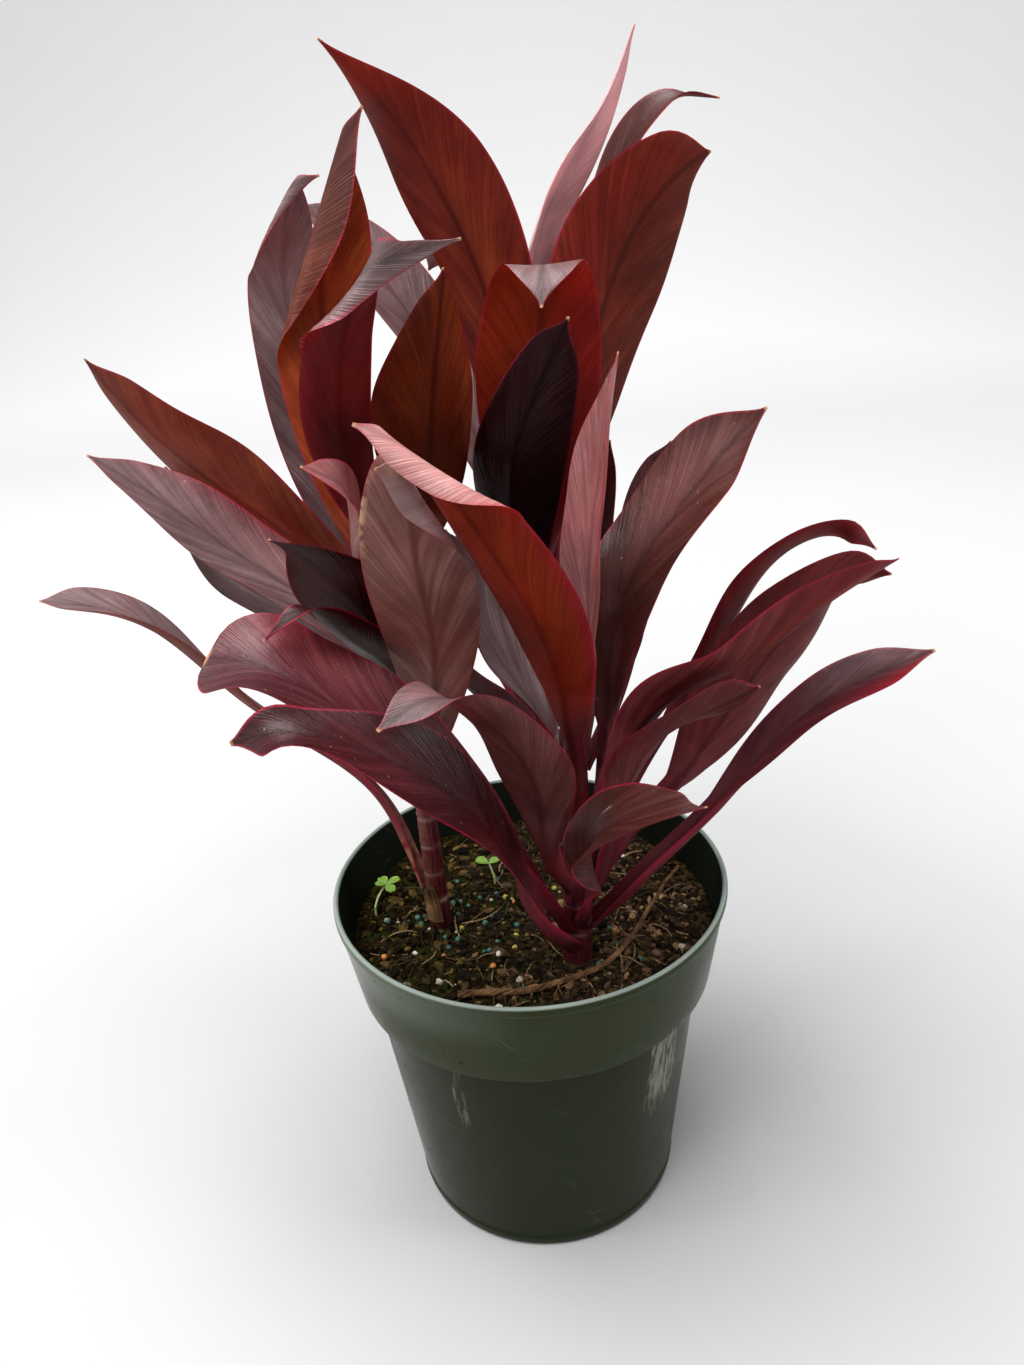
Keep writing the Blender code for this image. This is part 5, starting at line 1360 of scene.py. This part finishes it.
def pot_plastic():
    """Dark green plastic with painted light: painted highlights along the lip and the collar's foot, a
    painted reflection at the left under the lip, ragged upright painted reflections at two bearings,
    painted shade inside the collar and on the body below it; and smudges, scratches and dark grit."""
    made, _, where = new_material("pot_plastic_moulded")
    scratches, smudge, grit = grouped(wear, ["Scratches", "Smudge", "Grit"], {"Where": where})
    x, y, height = parts(where)
    collar_foot, lip_height = COLLAR_FOOT[1] * MM, POT_HEIGHT * MM
    bearing = calc("ARCTAN2", x, y * -1.0)
    grain = noise(vector(bearing * 30.0, height * 70.0, 2.0), 1.0, 5.0, 0.70)
    # painted reflections: pale ragged upright streaks on the body at two bearings, where windows reflect
    reach = calc("MAXIMUM", window(bearing, 0.80, 0.20), window(bearing, -0.52, 0.08) * 0.5)
    upright = reach * window(height, 86 * MM, 34 * MM)
    painted_reflection = remap(upright * remap(grain, 0.34, 0.70), 0.20, 0.60)
    radius = calc("POWER", x * x + y * y, 0.5)
    shell = remap(height, collar_foot, lip_height, COLLAR_FOOT[0] * MM, RIM_RADIUS * MM)
    # painted shade: the inner wall of the collar is made near-black
    inside = remap(shell - radius, 0.8 * MM, 1.4 * MM) * remap(height, collar_foot + MM, collar_foot + 3 * MM)
    # painted shade: the body below the collar is darkened
    below = remap(height, collar_foot, collar_foot - 0.6 * MM)
    # painted reflection: pale grey laid on the upper collar at the left, outside only
    left_collar_reflection = remap(x, -5 * MM, -62 * MM) * remap(height, lip_height - 24 * MM, lip_height - 12 * MM)
    left_collar_reflection = left_collar_reflection * remap(inside, 0.0, 1.0, 0.45, 0.0)
    # painted highlights: pale along the top of the lip and along the collar's step
    lip = remap(height, lip_height - 0.9 * MM, lip_height - 0.3 * MM)
    step = calc("COMPARE", height, collar_foot, 0.45 * MM)
    colour = layered(mixed(smudge, (0.014, 0.019, 0.006), (0.018, 0.024, 0.008)), [
        (below * 0.48, (0.003, 0.005, 0.001)),
        (inside * 0.85, (0.002, 0.0035, 0.002)),
        (painted_reflection * 0.55, (0.24, 0.23, 0.18)),
        (left_collar_reflection, (0.13, 0.15, 0.12)),
        (scratches * 0.4, (0.22, 0.25, 0.21)),
        (grit * 0.8, (0.006, 0.004, 0.003)),
        (lip * 0.80, (0.22, 0.26, 0.23)),
        (step * 0.35, (0.09, 0.12, 0.09))])
    rough = remap(smudge, 0.0, 1.0, 0.22, 0.36) + grit * 0.3 + inside * 0.4
    ripple = noise(vector(x * 60.0, y * 60.0, height * 22.0), 1.0)
    return dress(made, colour, rough, ripple + grit * 0.5, 0.25, specular=0.08)


def shaded_side(where):
    """Painted shade: one on the left of the mix, where the leaves overhang it, falling to nothing on the
    right."""
    return [remap(parts(where)[0], 22 * MM, -34 * MM)]


def mix_earth():
    """Moist mix between the bark: near-black crumbs with brown ones, darker by painted shade on the left and
    greened by moss there.
    """
    made, tree, where = new_material("mix_earth")
    cells = put(tree, "ShaderNodeTexVoronoi", {"Vector": where, "Scale": 620.0}).outputs
    tone = parts(Value(tree, cells["Color"]))[0]
    fine = noise(where, 1100.0, 3.0, 0.6)
    left, = grouped(shaded_side, ["Shade"], {"Where": where})
    colour = ramp(tone * 0.7 + fine * 0.5, [(0.2, (0.004, 0.002, 0.001)), (0.5, (0.012, 0.007, 0.004)),
                                            (0.78, (0.034, 0.021, 0.007)), (1.0, (0.085, 0.054, 0.020))])
    # painted shade: the left of the mix darkened and tinted green
    colour = mixed(left, colour, (0.42, 0.45, 0.20), "MULTIPLY")
    moss = remap(noise(where, 90.0, 3.0), 0.50, 0.62) * left
    colour = mixed(moss * 0.7, colour, (0.014, 0.020, 0.002))
    return dress(made, colour, remap(fine, 0.3, 0.7, 0.95, 0.55), fine + Value(tree, cells["Distance"]), 0.5,
                 specular=0.03)


@functools.cache
def bark():
    """Bark flakes: browns by the flake's own shade, with fine grain, and painted shade on the left that
    makes them darker and greener."""
    made, tree, where = new_material("bark")
    grain = noise(where, 760.0, 4.0, 0.65)
    left, = grouped(shaded_side, ["Shade"], {"Where": where})
    shade = field(tree, "shade", "Fac") + remap(grain, 0.3, 0.7, -0.13, 0.13)
    colour = ramp(shade, [(0.0, (0.004, 0.002, 0.001)), (0.40, (0.015, 0.009, 0.005)),
                          (0.62, (0.042, 0.024, 0.014)), (0.80, (0.100, 0.058, 0.034)),
                          (0.92, (0.190, 0.105, 0.048)), (1.0, (0.320, 0.190, 0.090))])
    # painted shade: the flakes on the left darkened and tinted green
    colour = mixed(left, colour, (0.40, 0.44, 0.24), "MULTIPLY")
    return dress(made, colour, remap(grain, 0.3, 0.7, 0.9, 0.55), grain, 0.4, specular=0.06)


# colours at the two ends of the grains' shades, and their roughness
GRAINS = {
    "teal_prills": ((0.008, 0.050, 0.036), (0.030, 0.120, 0.085), 0.45),
    "yellow_prills": ((0.20, 0.19, 0.02), (0.42, 0.36, 0.04), 0.45),
    "orange_prills": ((0.38, 0.08, 0.015), (0.50, 0.20, 0.03), 0.45),
    "perlite": ((0.30, 0.26, 0.19), (0.62, 0.58, 0.50), 0.85),
}


def grain_finish(name):
    """Coated prills and perlite: two colours by the grain's own shade, dusty at small scale."""
    first, last, rough = GRAINS[name]
    made, tree, where = new_material(name)
    dust = noise(where, 900.0, 3.0)
    colour = mixed(field(tree, "shade", "Fac"), first, last)
    colour = mixed(remap(dust, 0.50, 0.70, 0.0, 0.55), colour, (0.035, 0.024, 0.015))
    return dress(made, colour, remap(dust, 0.3, 0.7, rough, min(rough + 0.3, 1.0)), dust, 0.15)


def fibre():
    """Plant fibres: straw to dark brown by the fibre's own shade."""
    made, tree, where = new_material("fibre")
    tone = noise(where, 500.0, 3.0)
    shade = field(tree, "shade", "Fac") + remap(tone, 0.3, 0.7, -0.2, 0.2)
    colour = ramp(shade, [(0.0, (0.010, 0.006, 0.004)), (0.6, (0.042, 0.025, 0.012)),
                          (1.0, (0.260, 0.170, 0.085))])
    return dress(made, colour, 0.85, tone, 0.15, specular=0.15)


@functools.cache
def dry_fibre():
    """Dry root and sheath: tan to red-brown, mottled at two sizes."""
    made, _, where = new_material("dry_fibre")
    fine = noise(where, 1300.0, 3.0, 0.6)
    shade = noise(where, 140.0, 3.0, 0.6) * 0.8 + fine * 0.45
    colour = ramp(shade, [(0.35, (0.016, 0.007, 0.004)), (0.52, (0.070, 0.032, 0.014)),
                          (0.72, (0.170, 0.088, 0.040)), (0.95, (0.320, 0.190, 0.090))])
    return dress(made, colour, 0.8, fine, 0.2, specular=0.15)


@functools.cache
def cane_skin():
    """Cane: wine-red bark with cream scars, streaked lengthwise and darker towards the mix. The left cane
    keeps papery brown remains of its old leaf bases."""
    made, tree, where = new_material("cane_skin")
    x, y, height = parts(where)
    grain = noise(vector(x * 900.0, y * 900.0, height * 90.0), 1.0, 3.0, 0.6)
    foot = remap(height, 146 * MM, 130 * MM)
    left = remap(x, -36.5 * MM, -40.5 * MM)
    papery = left * remap(noise(where, 120.0, 3.0, 0.6), 0.36, 0.60)
    scar = field(tree, "scar", "Fac") * remap(noise(where, 160.0), 0.30, 0.50)
    colour = ramp(grain, [(0.30, (0.026, 0.003, 0.005)), (0.50, (0.070, 0.008, 0.012)),
                          (0.75, (0.150, 0.020, 0.028))])
    colour = layered(colour, [(foot * 0.5, (0.022, 0.003, 0.004)), (papery * 0.65, (0.095, 0.036, 0.018)),
                              (scar, (0.36, 0.25, 0.16))])
    return dress(made, colour, remap(grain, 0.3, 0.7, 0.32, 0.55), grain, 0.25, specular=0.2)


@functools.cache
def seedling_stem():
    """Pale green seedling stem."""
    made, _, where = new_material("seedling_stem")
    tone = noise(where, 300.0)
    return dress(made, mixed(tone, (0.22, 0.34, 0.10), (0.40, 0.46, 0.20)), 0.5, tone, 0.1)


@functools.cache
def seedling_leaf():
    """Bright seedling leaflet: yellow-green, mottled, with light through it."""
    made, _, where = new_material("seedling_leaf")
    tone = noise(where, 420.0, 3.0)
    colour = mixed(remap(tone, 0.3, 0.7), (0.13, 0.27, 0.035), (0.33, 0.48, 0.08))
    return let_light_through(dress(made, colour, 0.45, tone, 0.12), (0.5, 0.8, 0.1), 0.35)


WORLD_STRENGTH = 0.56
# lights, in metres and watts: place, point they face, width and height, power
LIGHTS = {
    "sky_light": ((-0.25, -0.1, 1.5), (0.0, 0.0, 0.25), (1.2, 1.0), 62.0),
    "front_light": ((-0.6, -1.0, 1.3), (0.0, 0.0, 0.2), (1.0, 1.0), 8.0),
    "left_window": ((-1.0, -0.25, 0.45), (0.0, 0.0, 0.15), (0.22, 1.1), 4.5),
    "right_window": ((1.0, -0.35, 0.5), (0.0, 0.0, 0.15), (0.3, 1.1), 6.0),
}
# floor, in metres: half its width, its near edge, radius of the curve up into the backdrop, and top
FLOOR_HALF_WIDTH = 5.0
FLOOR_NEAR = -3.0
FLOOR_CURVE = 1.6
BACKDROP_TOP = 5.0


def aim(made, right, up, ahead, place):
    """Turns a lamp or camera, which faces its own -Z, by three directions and puts it at its place."""
    made.matrix_world = Matrix([(right[i], up[i], -ahead[i], place[i]) for i in range(3)] + [(0, 0, 0, 1)])


def floor_finish():
    """Pale floor, with painted shade that darkens it near the pot."""
    made, tree, where = new_material("studio_floor")
    away = worked(tree, "ShaderNodeVectorMath", {0: where}, "Value", operation="LENGTH")
    # painted shade: the floor's colour runs from dark grey at the pot to pale far away
    pale = remap(away, 0.3, 2.2) + remap(noise(where, 3.0), 0.3, 0.7, -0.01, 0.01)
    give(tree, tree.nodes["Principled BSDF"],
         {"Base Color": mixed(pale, (0.30, 0.30, 0.30), (0.93, 0.93, 0.93)), "Roughness": 0.8,
          "Specular IOR Level": 0.1})
    return made


def build_stage():
    """Pale floor that curves up as a quarter circle into a backdrop far behind, a soft sky, and broad
    lights."""
    bpy.context.scene.view_settings.view_transform = "Standard"
    bend = np.linspace(0, math.pi / 2, 24)
    y = np.concatenate([[FLOOR_NEAR], FLOOR_CURVE + FLOOR_CURVE * np.sin(bend), [2 * FLOOR_CURVE]])
    z = np.concatenate([[0.0], FLOOR_CURVE - FLOOR_CURVE * np.cos(bend), [BACKDROP_TOP]])
    rows = [np.stack([x + 0 * y, y, z], -1) for x in (-FLOOR_HALF_WIDTH, FLOOR_HALF_WIDTH)]
    index = np.arange(2 * len(y)).reshape(-1, 2)
    mesh = new_mesh("studio_floor", np.stack(rows, 1).reshape(-1, 3), grid_faces(index))
    mesh.polygons.foreach_set("use_smooth", np.ones(len(mesh.polygons), bool))
    mesh.materials.append(floor_finish())
    add_object("studio_floor", mesh)
    world = bpy.data.worlds.new("studio")
    world.use_nodes = True
    world.node_tree.nodes["Background"].inputs[0].default_value = (1.0, 1.0, 1.0, 1.0)
    world.node_tree.nodes["Background"].inputs[1].default_value = WORLD_STRENGTH
    bpy.context.scene.world = world
    for name, (place, target, size, power) in LIGHTS.items():
        lamp = bpy.data.lights.new(name, "AREA")
        lamp.shape = "RECTANGLE"
        lamp.size, lamp.size_y = size
        lamp.energy = power
        ahead = np.array(target, float) - place
        ahead /= np.linalg.norm(ahead)
        right = np.cross(ahead, (0, 0, 1.0))
        right /= np.linalg.norm(right)
        aim(add_object(name, lamp), right, np.cross(right, ahead), ahead, place)


def build_camera():
    """Camera at the photograph's angle: turned down, then rolled about its own line of sight."""
    down, lean = math.radians(CAMERA_DOWN), math.radians(CAMERA_LEAN)
    ahead = np.array([0, math.cos(down), -math.sin(down)])
    level = np.array([1.0, 0, 0])
    rise = np.cross(level, ahead)
    lens = bpy.data.cameras.new("camera")
    lens.lens = CAMERA_LENS
    lens.sensor_width = SENSOR_WIDTH
    lens.clip_start = 0.01
    camera = add_object("camera", lens)
    right = math.cos(lean) * level + math.sin(lean) * rise
    up = math.cos(lean) * rise - math.sin(lean) * level
    aim(camera, right, up, ahead, np.array(CAMERA_PLACE) * MM)
    bpy.context.scene.camera = camera


def main():
    """Builds the stage, the camera and every piece."""
    build_stage()
    build_camera()
    build_pot()
    build_soil()
    build_flakes()
    build_grains()
    build_fibres()
    for name in CANES:
        build_cane(name)
    for name, leaf in LEAVES.items():
        build_leaf(name, leaf)
    build_sheath()
    build_root()
    for name in SEEDLINGS:
        build_seedling(name)


main()
